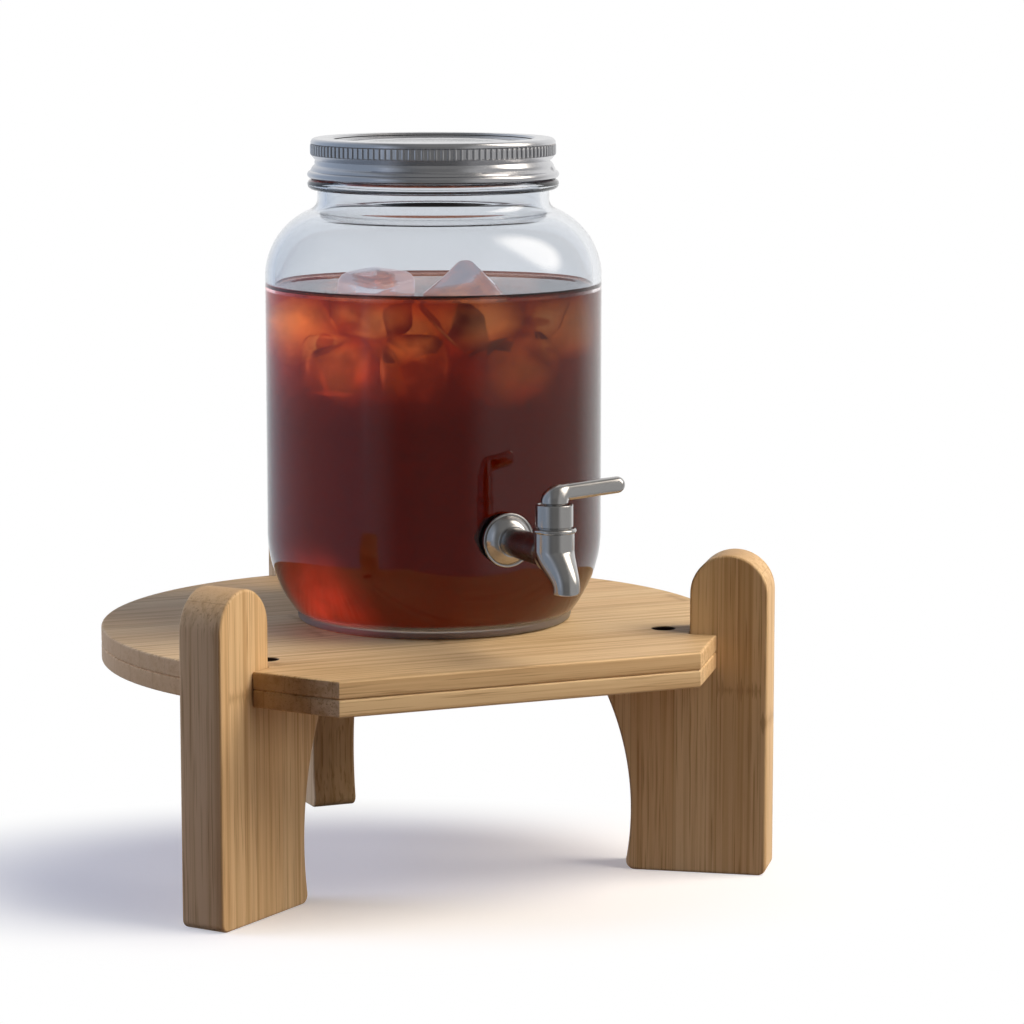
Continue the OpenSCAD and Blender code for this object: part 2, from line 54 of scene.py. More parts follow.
def addNode(tree, kind, settings=None):
    node = tree.nodes.new(kind)
    for name, value in (settings or {}).items():
        if isinstance(name, str) and hasattr(node, name):
            setattr(node, name, value)
        elif isinstance(value, bpy.types.NodeSocket):
            tree.links.new(value, node.inputs[name])
        else:
            node.inputs[name].default_value = value
    return node


def newMaterial(name):
    material = bpy.data.materials.new(name)
    material.use_nodes = True
    material.node_tree.nodes.clear()
    return material, material.node_tree


def arc(centre, radius, start, end, steps):
    turns = [math.radians(start + (end - start) * k / steps) for k in range(steps + 1)]
    return [(centre[0] + radius * math.cos(a), centre[1] + radius * math.sin(a)) for a in turns]


def straight(start, end, step):
    count = max(1, round(math.dist(start, end) / step))
    return [tuple(a + (b - a) * k / count for a, b in zip(start, end)) for k in range(1, count)]


def ease(t):
    return t * t * (3 - 2 * t)


def lathe(profile, segments, shape=None):
    # closed section of (radius, height) points, in mm, turned about Z
    bm = bmesh.new()
    columns = []
    for k in range(segments):
        angle = 2 * math.pi * k / segments
        column = []
        for r, z in profile:
            if r < 1e-6:
                column.append(columns[0][len(column)] if columns else bm.verts.new((0, 0, z * mm)))
                continue
            if shape:
                r = shape(r, z, angle)
            column.append(bm.verts.new((r * math.cos(angle) * mm, r * math.sin(angle) * mm, z * mm)))
        columns.append(column)
    for k in range(segments):
        here, there = columns[k], columns[(k + 1) % segments]
        for i in range(len(profile)):
            j = (i + 1) % len(profile)
            corners = []
            for v in (here[i], there[i], there[j], here[j]):
                if v not in corners:
                    corners.append(v)
            if len(corners) > 2:
                bm.faces.new(corners)
    return bm


def loft(rings):
    # closed rings of equally many points, in mm, capped at both ends
    bm = bmesh.new()
    rows = [[bm.verts.new(Vector(p) * mm) for p in ring] for ring in rings]
    count = len(rows[0])
    for low, high in zip(rows, rows[1:]):
        for k in range(count):
            bm.faces.new((low[k], low[(k + 1) % count], high[(k + 1) % count], high[k]))
    for row in (rows[0], rows[-1]):
        bm.faces.new(row)
    return bm


def ring(centre, lean, radius, count):
    # circle in the XZ plane's frame, its normal leaning from +Z towards +X
    tilt = math.radians(lean)
    points = []
    for k in range(count):
        a = 2 * math.pi * k / count
        side = radius * math.cos(a)
        points.append((centre[0] + side * math.cos(tilt), radius * math.sin(a),
                       centre[1] - side * math.sin(tilt)))
    return points


def joined(*parts):
    bm = bmesh.new()
    for part in parts:
        mesh = bpy.data.meshes.new("part")
        part.to_mesh(mesh)
        part.free()
        bm.from_mesh(mesh)
        bpy.data.meshes.remove(mesh)
    return bm


def toObject(name, bm, material, sharp=35):
    bmesh.ops.recalc_face_normals(bm, faces=bm.faces)
    mesh = bpy.data.meshes.new(name)
    bm.to_mesh(mesh)
    bm.free()
    mesh.shade_smooth()
    mesh.set_sharp_from_angle(angle=math.radians(sharp))
    mesh.materials.append(material)
    piece = bpy.data.objects.new(name, mesh)
    bpy.context.scene.collection.objects.link(piece)
    return piece


def settled(piece, sharp):
    # turns what the modifiers give into the piece's own plain mesh
    plain = bpy.data.meshes.new_from_object(piece.evaluated_get(bpy.context.evaluated_depsgraph_get()))
    piece.modifiers.clear()
    old = piece.data
    piece.data = plain
    plain.name = old.name
    bpy.data.meshes.remove(old)
    plain.shade_smooth()
    plain.set_sharp_from_angle(angle=math.radians(sharp))
    return piece


def cutBy(piece, cutter, sharp):
    knife = piece.modifiers.new("cut", "BOOLEAN")
    knife.operation = "DIFFERENCE"
    knife.solver = "EXACT"
    knife.object = cutter
    settled(piece, sharp)
    bpy.data.objects.remove(cutter)


def belongs(piece, body, nodes=()):
    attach(piece, body)
    if nodes:
        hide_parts(*nodes)


# Places that the frame gives
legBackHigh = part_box("leg_back")[1]
jarLow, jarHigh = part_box("jar")
bonnetLow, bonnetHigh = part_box("bonnet")
flangeLow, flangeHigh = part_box("tap_flange")
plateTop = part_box("plate_upper")[1].z / mm
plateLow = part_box("plate_lower")[0].z / mm
jarAxis = Vector(((jarLow.x + jarHigh.x) / 2, (jarLow.y + jarHigh.y) / 2, jarLow.z))
valveAxis = Vector(((bonnetLow.x + bonnetHigh.x) / 2, (bonnetLow.y + bonnetHigh.y) / 2, 0))
shankHeight = (flangeLow.z + flangeHigh.z) / 2
valveAxis.z = shankHeight
# the jar stands a little turned, so that its tap points off the middle of the front edge
jarTurn = Matrix.Rotation(math.atan2(valveAxis.x - jarAxis.x, jarAxis.y - valveAxis.y), 4, "Z")
onJar = Matrix.Translation(jarAxis) @ jarTurn
onValve = Matrix.Translation(valveAxis) @ jarTurn
onShank = onJar @ Matrix.Translation((0, 0, shankHeight - jarAxis.z)) @ Matrix.Rotation(math.pi / 2, 4, "X")

# Camera as fitted to the photograph: focal length and image in pixels, angles in degrees about the stand's
# middle, distances and sensor in mm
cameraSizes = {"focal": 3739.13, "azimuth": 21.77, "distance": 1714.88, "height": 417.23, "yaw": 1.55,
               "pitch": 8.48, "image": 1024, "sensor": 36}
c = cameraSizes
azimuth, heading = math.radians(c["azimuth"]), math.radians(c["azimuth"] + c["yaw"])
forward = Vector((math.sin(heading), math.cos(heading), 0))
sideways = Vector((math.cos(heading), -math.sin(heading), 0))

legSizes = {"out": 168.5, "height": 148, "thick": 22, "post": 36, "waist": 63, "waistHeight": 28,
            "hollow": 132, "foot": 4, "edge": 1.2, "boardStep": (400, 137.3, 60),
            "turns": {"back": 90, "left": 215.5, "right": -35.5}}
standY = legBackHigh.y / mm - legSizes["out"]
onStand = Matrix.Translation((0, standY * mm, 0))


# Bamboo slats glued side by side, planed and oiled: honey tones that change a little from slat to slat,
# fine straight fibres, thin glue lines, a knuckle across a slat now and then and darker end grain; the walls
# of the drilled holes below their rim are darkened to near black, a painted shade for the inside of a hole
bambooSizes = {"slat": 20, "glue": 0.3, "fibre": 0.8, "fibreLength": 45, "streak": 3.2, "streakLength": 300,
               "knuckle": 2.6, "knuckleEvery": 330, "pale": "#E6C89B", "honey": "#DCB98A", "brown": "#B48A58",
               "pore": "#96693A", "line": "#8A6036", "ends": "#C6A276", "holeShade": "#1E120B"}


def bambooLaminate():
    s = bambooSizes
    material, tree = newMaterial("bambooLaminateOiled")
    coord = addNode(tree, "ShaderNodeAttribute", {"attribute_name": "boardCoord"}).outputs["Vector"]
    ends = addNode(tree, "ShaderNodeAttribute", {"attribute_name": "endGrain"}).outputs["Fac"]
    axes = addNode(tree, "ShaderNodeSeparateXYZ", {"Vector": coord})
    across = addNode(tree, "ShaderNodeMath", {"operation": "DIVIDE", 0: axes.outputs["Y"], 1: s["slat"] * mm})
    slat = addNode(tree, "ShaderNodeMath", {"operation": "FLOOR", 0: across.outputs[0]})
    inSlat = addNode(tree, "ShaderNodeMath", {"operation": "FRACT", 0: across.outputs[0]})
    tone = addNode(tree, "ShaderNodeTexWhiteNoise", {"noise_dimensions": "1D", "W": slat.outputs[0]})
    # each slat is cut from another cane, so its fibres start elsewhere
    shift = addNode(tree, "ShaderNodeCombineXYZ", {"X": tone.outputs["Value"]})
    moved = addNode(tree, "ShaderNodeVectorMath", {"operation": "ADD", 0: coord, 1: shift.outputs[0]})
    fibreScale = (1 / (s["fibreLength"] * mm), 1 / (s["fibre"] * mm), 1 / (s["fibre"] * mm))
    streakScale = (1 / (s["streakLength"] * mm), 1 / (s["streak"] * mm), 1 / (s["streak"] * mm))
    fibreCoord = addNode(tree, "ShaderNodeMapping", {"Vector": moved.outputs[0], "Scale": fibreScale})
    streakCoord = addNode(tree, "ShaderNodeMapping", {"Vector": moved.outputs[0], "Scale": streakScale})
    fibre = addNode(tree, "ShaderNodeTexNoise", {
        "Vector": fibreCoord.outputs[0], "Scale": 1.0, "Detail": 2.0})
    streak = addNode(tree, "ShaderNodeTexNoise", {
        "Vector": streakCoord.outputs[0], "Scale": 1.0, "Detail": 3.0, "Distortion": 0.4})
    # knuckle: distance along the slat to its nearest joint, with a ragged edge from the fibres
    along = addNode(tree, "ShaderNodeMath", {
        "operation": "DIVIDE", 0: axes.outputs["X"], 1: s["knuckleEvery"] * mm})
    phase = addNode(tree, "ShaderNodeMath", {
        "operation": "ADD", 0: along.outputs[0], 1: tone.outputs["Value"]})
    cycle = addNode(tree, "ShaderNodeMath", {"operation": "PINGPONG", 0: phase.outputs[0], 1: 0.5})
    ragged = addNode(tree, "ShaderNodeMath", {
        "operation": "MULTIPLY_ADD", 0: fibre.outputs["Fac"], 1: 0.06, 2: cycle.outputs[0]})
    reach = s["knuckle"] / s["knuckleEvery"]
    knuckle = addNode(tree, "ShaderNodeMapRange", {
        "interpolation_type": "SMOOTHSTEP", "Value": ragged.outputs[0], "From Min": 0.03 + reach,
        "From Max": 0.03, "To Min": 0.0, "To Max": 0.4})
    # glue line at both edges of a slat
    edge = addNode(tree, "ShaderNodeMath", {"operation": "PINGPONG", 0: inSlat.outputs[0], 1: 0.5})
    glue = addNode(tree, "ShaderNodeMapRange", {
        "interpolation_type": "SMOOTHSTEP", "Value": edge.outputs[0], "From Min": s["glue"] / s["slat"],
        "From Max": 0.0, "To Min": 0.0, "To Max": 0.3})
    slatColour = addNode(tree, "ShaderNodeMix", {
        "data_type": "RGBA", "Factor": tone.outputs["Value"], "A": linear(s["pale"]),
        "B": linear(s["honey"])})
    streaked = addNode(tree, "ShaderNodeMapRange", {
        "Value": streak.outputs["Fac"], "From Min": 0.45, "From Max": 0.75, "To Min": 0.0, "To Max": 0.8})
    fibred = addNode(tree, "ShaderNodeMapRange", {
        "Value": fibre.outputs["Fac"], "From Min": 0.55, "From Max": 0.7, "To Min": 0.0, "To Max": 0.55})
    endTone = addNode(tree, "ShaderNodeMapRange", {
        "Value": ends, "From Min": 0.3, "From Max": 1.0, "To Min": 0.0, "To Max": 0.8})
    shadedHoleWall = addNode(tree, "ShaderNodeAttribute", {"attribute_name": "shadedHoleWall"})
    colour = slatColour.outputs["Result"]
    for amount, shade in ((streaked, s["brown"]), (fibred, s["pore"]), (knuckle, s["line"]),
                          (endTone, s["ends"]), (glue, s["line"])):
        colour = addNode(tree, "ShaderNodeMix", {
            "data_type": "RGBA", "Factor": amount.outputs[0], "A": colour,
            "B": linear(shade)}).outputs["Result"]
    # painted shade: hole walls below the rim turn near black, as the inside of a hole lies in shade
    colour = addNode(tree, "ShaderNodeMix", {
        "data_type": "RGBA", "Factor": shadedHoleWall.outputs["Fac"], "A": colour,
        "B": linear(s["holeShade"])}).outputs["Result"]
    rough = addNode(tree, "ShaderNodeMapRange", {"Value": fibre.outputs["Fac"], "To Min": 0.5, "To Max": 0.7})
    bump = addNode(tree, "ShaderNodeBump", {
        "Height": fibre.outputs["Fac"], "Strength": 0.2, "Distance": 0.1 * mm})
    shader = addNode(tree, "ShaderNodeBsdfPrincipled", {
        "Base Color": colour, "Roughness": rough.outputs[0], "IOR": 1.38, "Normal": bump.outputs[0]})
    addNode(tree, "ShaderNodeOutputMaterial", {"Surface": shader.outputs[0]})
    return material


# Pressed soda-lime glass, fire polished: clear, with a faint cool tint, and stippled at its foot; the paler
# grey painted on the foot is painted light, standing in for the light the thick foot carries
glassSizes = {"waves": 45, "waveDepth": 0.4, "clearFrom": 7, "stippledTo": 5, "stippleAndPaleness": 0.3,
              "tint": "#EAEDF1", "paleFootPaint": "#A8A6A5"}


def jarGlass(name, bend):
    g = glassSizes
    material, tree = newMaterial(name)
    coord = addNode(tree, "ShaderNodeTexCoord").outputs["Object"]
    waves = addNode(tree, "ShaderNodeTexNoise", {
        "Vector": coord, "Scale": 1 / (g["waves"] * mm), "Detail": 1.0})
    bump = addNode(tree, "ShaderNodeBump", {
        "Height": waves.outputs["Fac"], "Strength": 0.15, "Distance": g["waveDepth"] * mm})
    height = addNode(tree, "ShaderNodeSeparateXYZ", {"Vector": coord}).outputs["Z"]
    stippleAndPaleFoot = addNode(tree, "ShaderNodeMapRange", {
        "Value": height, "From Min": jarAxis.z + g["clearFrom"] * mm,
        "From Max": jarAxis.z + g["stippledTo"] * mm, "To Min": 0.0, "To Max": g["stippleAndPaleness"]})
    # painted light: a pale grey glossy coat mixed into the stippled foot stands in for the light the thick
    # glass foot carries
    paleFootPaint = addNode(tree, "ShaderNodeBsdfPrincipled", {"Base Color": linear(g["paleFootPaint"]), "Roughness": 0.12})
    shader = addNode(tree, "ShaderNodeBsdfPrincipled", {
        "Base Color": linear(g["tint"]), "Roughness": stippleAndPaleFoot.outputs[0], "IOR": bend,
        "Transmission Weight": 1.0, "Normal": bump.outputs[0]})
    both = addNode(tree, "ShaderNodeMixShader", {
        0: stippleAndPaleFoot.outputs[0], 1: shader.outputs[0], 2: paleFootPaint.outputs[0]})
    addNode(tree, "ShaderNodeOutputMaterial", {"Surface": both.outputs[0]})
    return material


# Drink: its level and edges in mm, and where the jar gathers the light, by how far right of the axis,
# towards the camera and above the jar's foot
drinkSizes = {"level": 154.7, "overlap": 0.4, "meniscus": 1.6, "climbAt": 8, "climb": 1.6, "skin": 0.1,
              "glow": (-50, 46, 12), "glowReach": 36, "swirl": 14, "iceReach": 62, "iceFrom": 12,
              "atGlass": 72.8, "gatherAt": -12, "gatherReach": 40, "gathered": (1.25, 0.25), "density": 74.0,
              "tea": "#E1B147", "surface": "#96665C", "red": "#F0442E"}
drinkTop = jarAxis.z + drinkSizes["level"] * mm


# Light enters the jar from the right and comes together on its left
def gathered(tree, coord):
    d = drinkSizes
    middle, reach = jarAxis.dot(sideways) + d["gatherAt"] * mm, d["gatherReach"] * mm
    onLeft, onRight = d["gathered"]
    across = addNode(tree, "ShaderNodeVectorMath", {"operation": "DOT_PRODUCT", 0: coord, 1: sideways})
    return addNode(tree, "ShaderNodeMapRange", {
        "Value": across.outputs["Value"], "From Min": middle - reach, "From Max": middle + reach,
        "To Min": onLeft, "To Max": onRight}).outputs[0]


# Hibiscus tea: clear deep red that turns amber where little of it is in the way, with a red glow low down
# where light that has crossed the jar comes together
def hibiscusTea():
    d = drinkSizes
    material, tree = newMaterial("hibiscusTea")
    right, near, up = d["glow"]
    middle = jarAxis + (sideways * right - forward * near + Vector((0, 0, up))) * mm
    coord = addNode(tree, "ShaderNodeTexCoord").outputs["Object"]
    away = addNode(tree, "ShaderNodeVectorMath", {"operation": "DISTANCE", 0: coord, 1: middle})
    swirl = addNode(tree, "ShaderNodeTexNoise", {
        "Vector": coord, "Scale": 1 / (d["swirl"] * mm), "Detail": 2.0})
    spot = addNode(tree, "ShaderNodeMapRange", {
        "interpolation_type": "SMOOTHSTEP", "Value": away.outputs["Value"], "From Min": d["glowReach"] * mm,
        "From Max": 0.0, "To Min": 0.0, "To Max": 0.8})
    uneven = addNode(tree, "ShaderNodeMath", {
        "operation": "MULTIPLY", 0: spot.outputs[0], 1: swirl.outputs["Fac"]})
    water = addNode(tree, "ShaderNodeBsdfPrincipled", {
        "Base Color": linear(d["surface"]), "Roughness": 0.0, "IOR": 1.16, "Transmission Weight": 1.0})
    # the ice spreads light through the tea, which shows where the tea meets the glass
    axes = addNode(tree, "ShaderNodeSeparateXYZ", {"Vector": coord}).outputs
    flat = addNode(tree, "ShaderNodeCombineXYZ", {"X": axes["X"], "Y": axes["Y"]})
    radius = addNode(tree, "ShaderNodeVectorMath", {
        "operation": "DISTANCE", 0: flat.outputs[0], 1: (jarAxis.x, jarAxis.y, 0)})
    outer = addNode(tree, "ShaderNodeMath", {
        "operation": "GREATER_THAN", 0: radius.outputs["Value"], 1: d["atGlass"] * mm})
    upper = addNode(tree, "ShaderNodeMapRange", {
        "interpolation_type": "SMOOTHSTEP", "Value": axes["Z"], "From Min": drinkTop - d["iceReach"] * mm,
        "From Max": drinkTop - d["iceFrom"] * mm, "To Min": 0.0, "To Max": 0.3})
    for part in (outer.outputs[0], gathered(tree, coord)):
        upper = addNode(tree, "ShaderNodeMath", {"operation": "MULTIPLY", 0: upper.outputs[0], 1: part})
    lit = addNode(tree, "ShaderNodeMath", {
        "operation": "MULTIPLY_ADD", 0: upper.outputs[0], 1: swirl.outputs["Fac"], 2: uneven.outputs[0]})
    glow = addNode(tree, "ShaderNodeEmission", {"Color": linear(d["red"]), "Strength": lit.outputs[0]})
    # only the free surface bends light here: the wetted glass and ice bend it at the other sides
    wall = addNode(tree, "ShaderNodeAddShader", {
        0: addNode(tree, "ShaderNodeBsdfTransparent").outputs[0], 1: glow.outputs[0]})
    free = addNode(tree, "ShaderNodeMath", {
        "operation": "GREATER_THAN", 0: axes["Z"], 1: drinkTop - d["skin"] * mm})
    skin = addNode(tree, "ShaderNodeMixShader", {0: free.outputs[0], 1: wall.outputs[0], 2: water.outputs[0]})
    depth = addNode(tree, "ShaderNodeVolumeAbsorption", {"Color": linear(d["tea"]), "Density": d["density"]})
    addNode(tree, "ShaderNodeOutputMaterial", {"Surface": skin.outputs[0], "Volume": depth.outputs[0]})
    return material


# Freezer ice: clear skin and a milky core; a painted glow, emission for the light the core spreads, is pale
# above the drink, amber where the tea reaches it and redder further down; dry, sunk and shallow are spans
# of height over the drink's level, in mm
iceSizes = {"cloud": 22, "dry": (-3, 1), "sunk": (-4, -14), "shallow": (-45, -15), "dryGlow": 0.26,
            "clear": "#F4F7FB", "dryGlowTint": "#DAD8E4", "amber": "#F2A86A", "red": "#E0553C"}


def clearIce():
    f = iceSizes
    material, tree = newMaterial("freezerIce")
    coord = addNode(tree, "ShaderNodeTexCoord").outputs["Object"]
    height = addNode(tree, "ShaderNodeSeparateXYZ", {"Vector": coord}).outputs["Z"]
    dry, sunk, shallow = (addNode(tree, "ShaderNodeMapRange", {
        "Value": height, "From Min": drinkTop + start * mm, "From Max": drinkTop + end * mm}).outputs[0]
        for start, end in (f["dry"], f["sunk"], f["shallow"]))
    core = addNode(tree, "ShaderNodeAttribute", {"attribute_name": "iceGlow"}).outputs["Fac"]
    cloud = addNode(tree, "ShaderNodeTexNoise", {
        "Vector": coord, "Scale": 1 / (f["cloud"] * mm), "Detail": 2.0})
    wetLight = addNode(tree, "ShaderNodeMapRange", {
        "Value": cloud.outputs["Fac"], "From Min": 0.42, "From Max": 0.64, "To Min": 0.03, "To Max": 0.5})
    for part in (core, sunk, gathered(tree, coord)):
        wetLight = addNode(tree, "ShaderNodeMath", {"operation": "MULTIPLY", 0: wetLight.outputs[0], 1: part})
    # painted glow: emission in place of the light the milky core spreads, even above the drink and patchy in
    # the tea
    iceGlow = addNode(tree, "ShaderNodeMix", {
        "data_type": "FLOAT", "Factor": dry, "A": wetLight.outputs[0], "B": f["dryGlow"]})
    glowUnderTea = addNode(tree, "ShaderNodeMix", {
        "data_type": "RGBA", "Factor": shallow, "A": linear(f["red"]), "B": linear(f["amber"])})
    tint = addNode(tree, "ShaderNodeMix", {
        "data_type": "RGBA", "Factor": dry, "A": glowUnderTea.outputs["Result"], "B": linear(f["dryGlowTint"])})
    # ice in tea bends light far less than ice in air
    inAir, inTea = (addNode(tree, "ShaderNodeBsdfPrincipled", {
        "Base Color": linear(f["clear"]), "Roughness": 0.03, "IOR": bend, "Transmission Weight": 1.0,
        "Emission Color": tint.outputs["Result"], "Emission Strength": iceGlow.outputs[0]})
        for bend in (1.31, 1.005))
    skin = addNode(tree, "ShaderNodeMixShader", {0: dry, 1: inTea.outputs[0], 2: inAir.outputs[0]})
    addNode(tree, "ShaderNodeOutputMaterial", {"Surface": skin.outputs[0]})
    return material


# Metals: grain is the size of the polishing or rolling marks, in mm, drawn coarse enough to show
def metal(name, colour, worn, roughLow, roughHigh, grain, depth):
    material, tree = newMaterial(name)
    coord = addNode(tree, "ShaderNodeTexCoord").outputs["Object"]
    marks = addNode(tree, "ShaderNodeTexNoise", {"Vector": coord, "Scale": 1 / (grain * mm), "Detail": 4.0})
    cloud = addNode(tree, "ShaderNodeTexNoise", {
        "Vector": coord, "Scale": 1 / (14 * grain * mm), "Detail": 2.0})
    rough = addNode(tree, "ShaderNodeMapRange", {
        "Value": cloud.outputs["Fac"], "From Min": 0.3, "From Max": 0.7, "To Min": roughLow,
        "To Max": roughHigh})
    tint = addNode(tree, "ShaderNodeMix", {
        "data_type": "RGBA", "Factor": marks.outputs["Fac"], "A": linear(colour), "B": linear(worn)})
    bump = addNode(tree, "ShaderNodeBump", {
        "Height": marks.outputs["Fac"], "Strength": 0.2, "Distance": depth * mm})
    shader = addNode(tree, "ShaderNodeBsdfPrincipled", {
        "Base Color": tint.outputs["Result"], "Metallic": 1.0, "Roughness": rough.outputs[0],
        "Normal": bump.outputs[0]})
    addNode(tree, "ShaderNodeOutputMaterial", {"Surface": shader.outputs[0]})
    return material


# Moulded rubbers and plastics: an even colour with a fine matt texture
def moulded(name, colour, shade, roughness, grain):
    material, tree = newMaterial(name)
    coord = addNode(tree, "ShaderNodeTexCoord").outputs["Object"]
    skin = addNode(tree, "ShaderNodeTexNoise", {"Vector": coord, "Scale": 1 / (grain * mm), "Detail": 3.0})
    tint = addNode(tree, "ShaderNodeMix", {
        "data_type": "RGBA", "Factor": skin.outputs["Fac"], "A": linear(colour), "B": linear(shade)})
    bump = addNode(tree, "ShaderNodeBump", {
        "Height": skin.outputs["Fac"], "Strength": 0.2, "Distance": 0.05 * mm})
    shader = addNode(tree, "ShaderNodeBsdfPrincipled", {
        "Base Color": tint.outputs["Result"], "Roughness": roughness, "Normal": bump.outputs[0]})
    addNode(tree, "ShaderNodeOutputMaterial", {"Surface": shader.outputs[0]})
    return material


bamboo = bambooLaminate()
glass = jarGlass("sodaLimeGlassClear", 1.47)
# glass against tea bends light by the ratio of the two
wetGlass = jarGlass("sodaLimeGlassWetted", 1.103)
tea = hibiscusTea()
ice = clearIce()
stainless = metal("stainlessSatinPolished", "#BDBBB9", "#B0AEAC", 0.18, 0.24, 0.5, 0.01)
tinplate = metal("tinplateSatinRolled", "#CFCFD1", "#BFBFC2", 0.19, 0.25, 0.8, 0.01)
blackSteel = metal("steelBlackOxide", "#3A3836", "#2C2A29", 0.4, 0.55, 0.4, 0.02)
brass = metal("brassTurned", "#C9A255", "#B98F45", 0.3, 0.45, 0.5, 0.02)
silicone = moulded("siliconeBlackMoulded", "#2A2A2C", "#1E1E20", 0.55, 0.4)
linerFoam = moulded("plastisolLinerCream", "#E9E2CF", "#DDD4BD", 0.6, 0.5)
nylon = moulded("nylonNaturalMoulded", "#ECE9E0", "#E0DCD1", 0.45, 0.4)
print("materials:", len(bpy.data.materials))


# Stand: two round plates and three legs, all of eased boards
def inset(outline, depth):
    moved = []
    count = len(outline)
    for k in range(count):
        before, here, after = (Vector(outline[(k + s) % count]) for s in (-1, 0, 1))
        a, b = (here - before).normalized(), (after - here).normalized()
        left = (Vector((-a.y, a.x)) + Vector((-b.y, b.x))).normalized()
        moved.append(here + left * depth / max(0.3, left.dot(Vector((-a.y, a.x)))))
    return moved


def easedBoard(outline, thick, edge, grain, holes=()):
    # outline runs anticlockwise in the board's plane; holes are (centre, [(radius, height)]), from the top down
    steps, sides, capEdge = 6, 40, 0.4
    low = [(edge * (1 - math.sin(a)), edge * (1 - math.cos(a)))
           for a in (math.pi / 2 * k / steps for k in range(steps + 1))]
    high = [(i, thick - w) for i, w in reversed(low)]
    profile = [(edge + capEdge, 0)] + low + high + [(edge + capEdge, thick)]
    bm = bmesh.new()
    layer = bm.verts.layers.float_vector.new("boardCoord")
    ends, shadedHoleWall = (bm.verts.layers.float.new(name) for name in ("endGrain", "shadedHoleWall"))
    rows = [[bm.verts.new((p.x, p.y, w)) for p in inset(outline, i)] for i, w in profile]
    loops = [rows]
    for centre, wall in holes:
        around = [(math.cos(a), math.sin(a)) for a in (2 * math.pi * k / sides for k in range(sides))]
        first, last = wall[0], wall[-1]
        wall = [(last[0] + capEdge, last[1])] + list(reversed(wall)) + [(first[0] + capEdge, first[1])]
        loops.append([[bm.verts.new((centre[0] + r * x, centre[1] + r * y, w)) for x, y in around]
                      for r, w in wall])
    for loop in loops:
        for lower, upper in zip(loop, loop[1:]):
            count = len(lower)
            for k in range(count):
                bm.faces.new((lower[k], lower[(k + 1) % count], upper[(k + 1) % count], upper[k]))
    for end in (0, -1):
        border = []
        for loop in loops:
            row = loop[end]
            border += [bm.edges.get((row[k], row[(k + 1) % len(row)])) for k in range(len(row))]
        bmesh.ops.triangle_fill(bm, use_beauty=True, use_dissolve=False, edges=border)
    # painted shade: the walls of the holes below their rim are marked here for the material to darken
    for loop in loops[1:]:
        for row in loop[1:-2]:
            for v in row:
                v[shadedHoleWall] = 1
    origin = Vector(grain(0, 0, 0))
    lengthwise = Vector([1 if abs((Vector(grain(*axis)) - origin).x) > 0.5 else 0
                         for axis in ((1, 0, 0), (0, 1, 0), (0, 0, 1))])
    bm.normal_update()
    for v in bm.verts:
        v[ends] = v.normal.dot(lengthwise) ** 2
        v[layer] = Vector(grain(*v.co)) * mm
        v.co *= mm
    return bm


def legOutline():
    s = legSizes
    hollowX = s["out"] - s["waist"] - s["hollow"]
    footX = hollowX + math.sqrt((s["hollow"] + s["foot"]) ** 2 - (s["waistHeight"] - s["foot"]) ** 2)
    footTurn = math.degrees(math.atan2(s["foot"] - s["waistHeight"], footX - hollowX))
    tipTurn = math.degrees(math.asin((plateLow - s["waistHeight"]) / s["hollow"]))
    half = s["post"] / 2
    hollow = arc((hollowX, s["waistHeight"]), s["hollow"], tipTurn, footTurn, 40)
    return (arc((footX, s["foot"]), s["foot"], 180 + footTurn, 270, 8)
            + arc((s["out"] - s["foot"], s["foot"]), s["foot"], -90, 0, 8)
            + arc((s["out"] - half, s["height"] - half), half, 0, 180, 48)
            + [(s["out"] - s["post"], plateLow)] + hollow[:-1])


for offset, (side, turn) in enumerate(legSizes["turns"].items()):
    thick = legSizes["thick"]
    # fibres run up the leg, and each leg is cut from another board
    along, across, through = (offset * step for step in legSizes["boardStep"])
    board = easedBoard(legOutline(), thick, legSizes["edge"],
                       lambda u, v, w: (v + along, u + across, w + through))
    stand = Matrix(((1, 0, 0, 0), (0, 0, -1, thick / 2 * mm), (0, 1, 0, 0), (0, 0, 0, 1)))
    board.transform(onStand @ Matrix.Rotation(math.radians(turn), 4, "Z") @ stand)
    belongs(toObject("leg" + side.capitalize(), board, bamboo), "stand", ["leg_" + side])

plateSizes = {"radius": 143.97, "front": 130, "frontHalf": 85.5, "corner": 145, "thick": 8, "edge": 1.1,
              "notchHalf": 11.3, "notchIn": 132.2, "screwAt": 118.5, "head": 5.3, "shank": 3.3, "seat": 5,
              "rim": 0.5, "slatShift": 7, "boardStep": (900, 211, 30)}


def plateOutline():
    s = plateSizes
    reach = math.sqrt(s["radius"] ** 2 - s["notchHalf"] ** 2)
    half = math.degrees(math.asin(s["notchHalf"] / s["radius"]))

    def atLeg(side, u, v):
        a = math.radians(legSizes["turns"][side])
        return (u * math.cos(a) - v * math.sin(a), u * math.sin(a) + v * math.cos(a))

    def notch(side, first, last):
        n, h = s["notchIn"], s["notchHalf"]
        return [atLeg(side, first, -h), atLeg(side, n, -h), atLeg(side, n, h), atLeg(side, last, h)]

    turns = legSizes["turns"]
    rightArc = arc((0, 0), s["radius"], turns["right"] + half, turns["back"] - half, 90)[1:-1]
    leftArc = arc((0, 0), s["radius"], turns["back"] + half, turns["left"] - half, 90)[1:-1]
    return ([(-s["frontHalf"], -s["front"]), (s["frontHalf"], -s["front"])]
            + notch("right", s["corner"], reach) + rightArc + notch("back", reach, reach)
            + leftArc + notch("left", reach, s["corner"]))


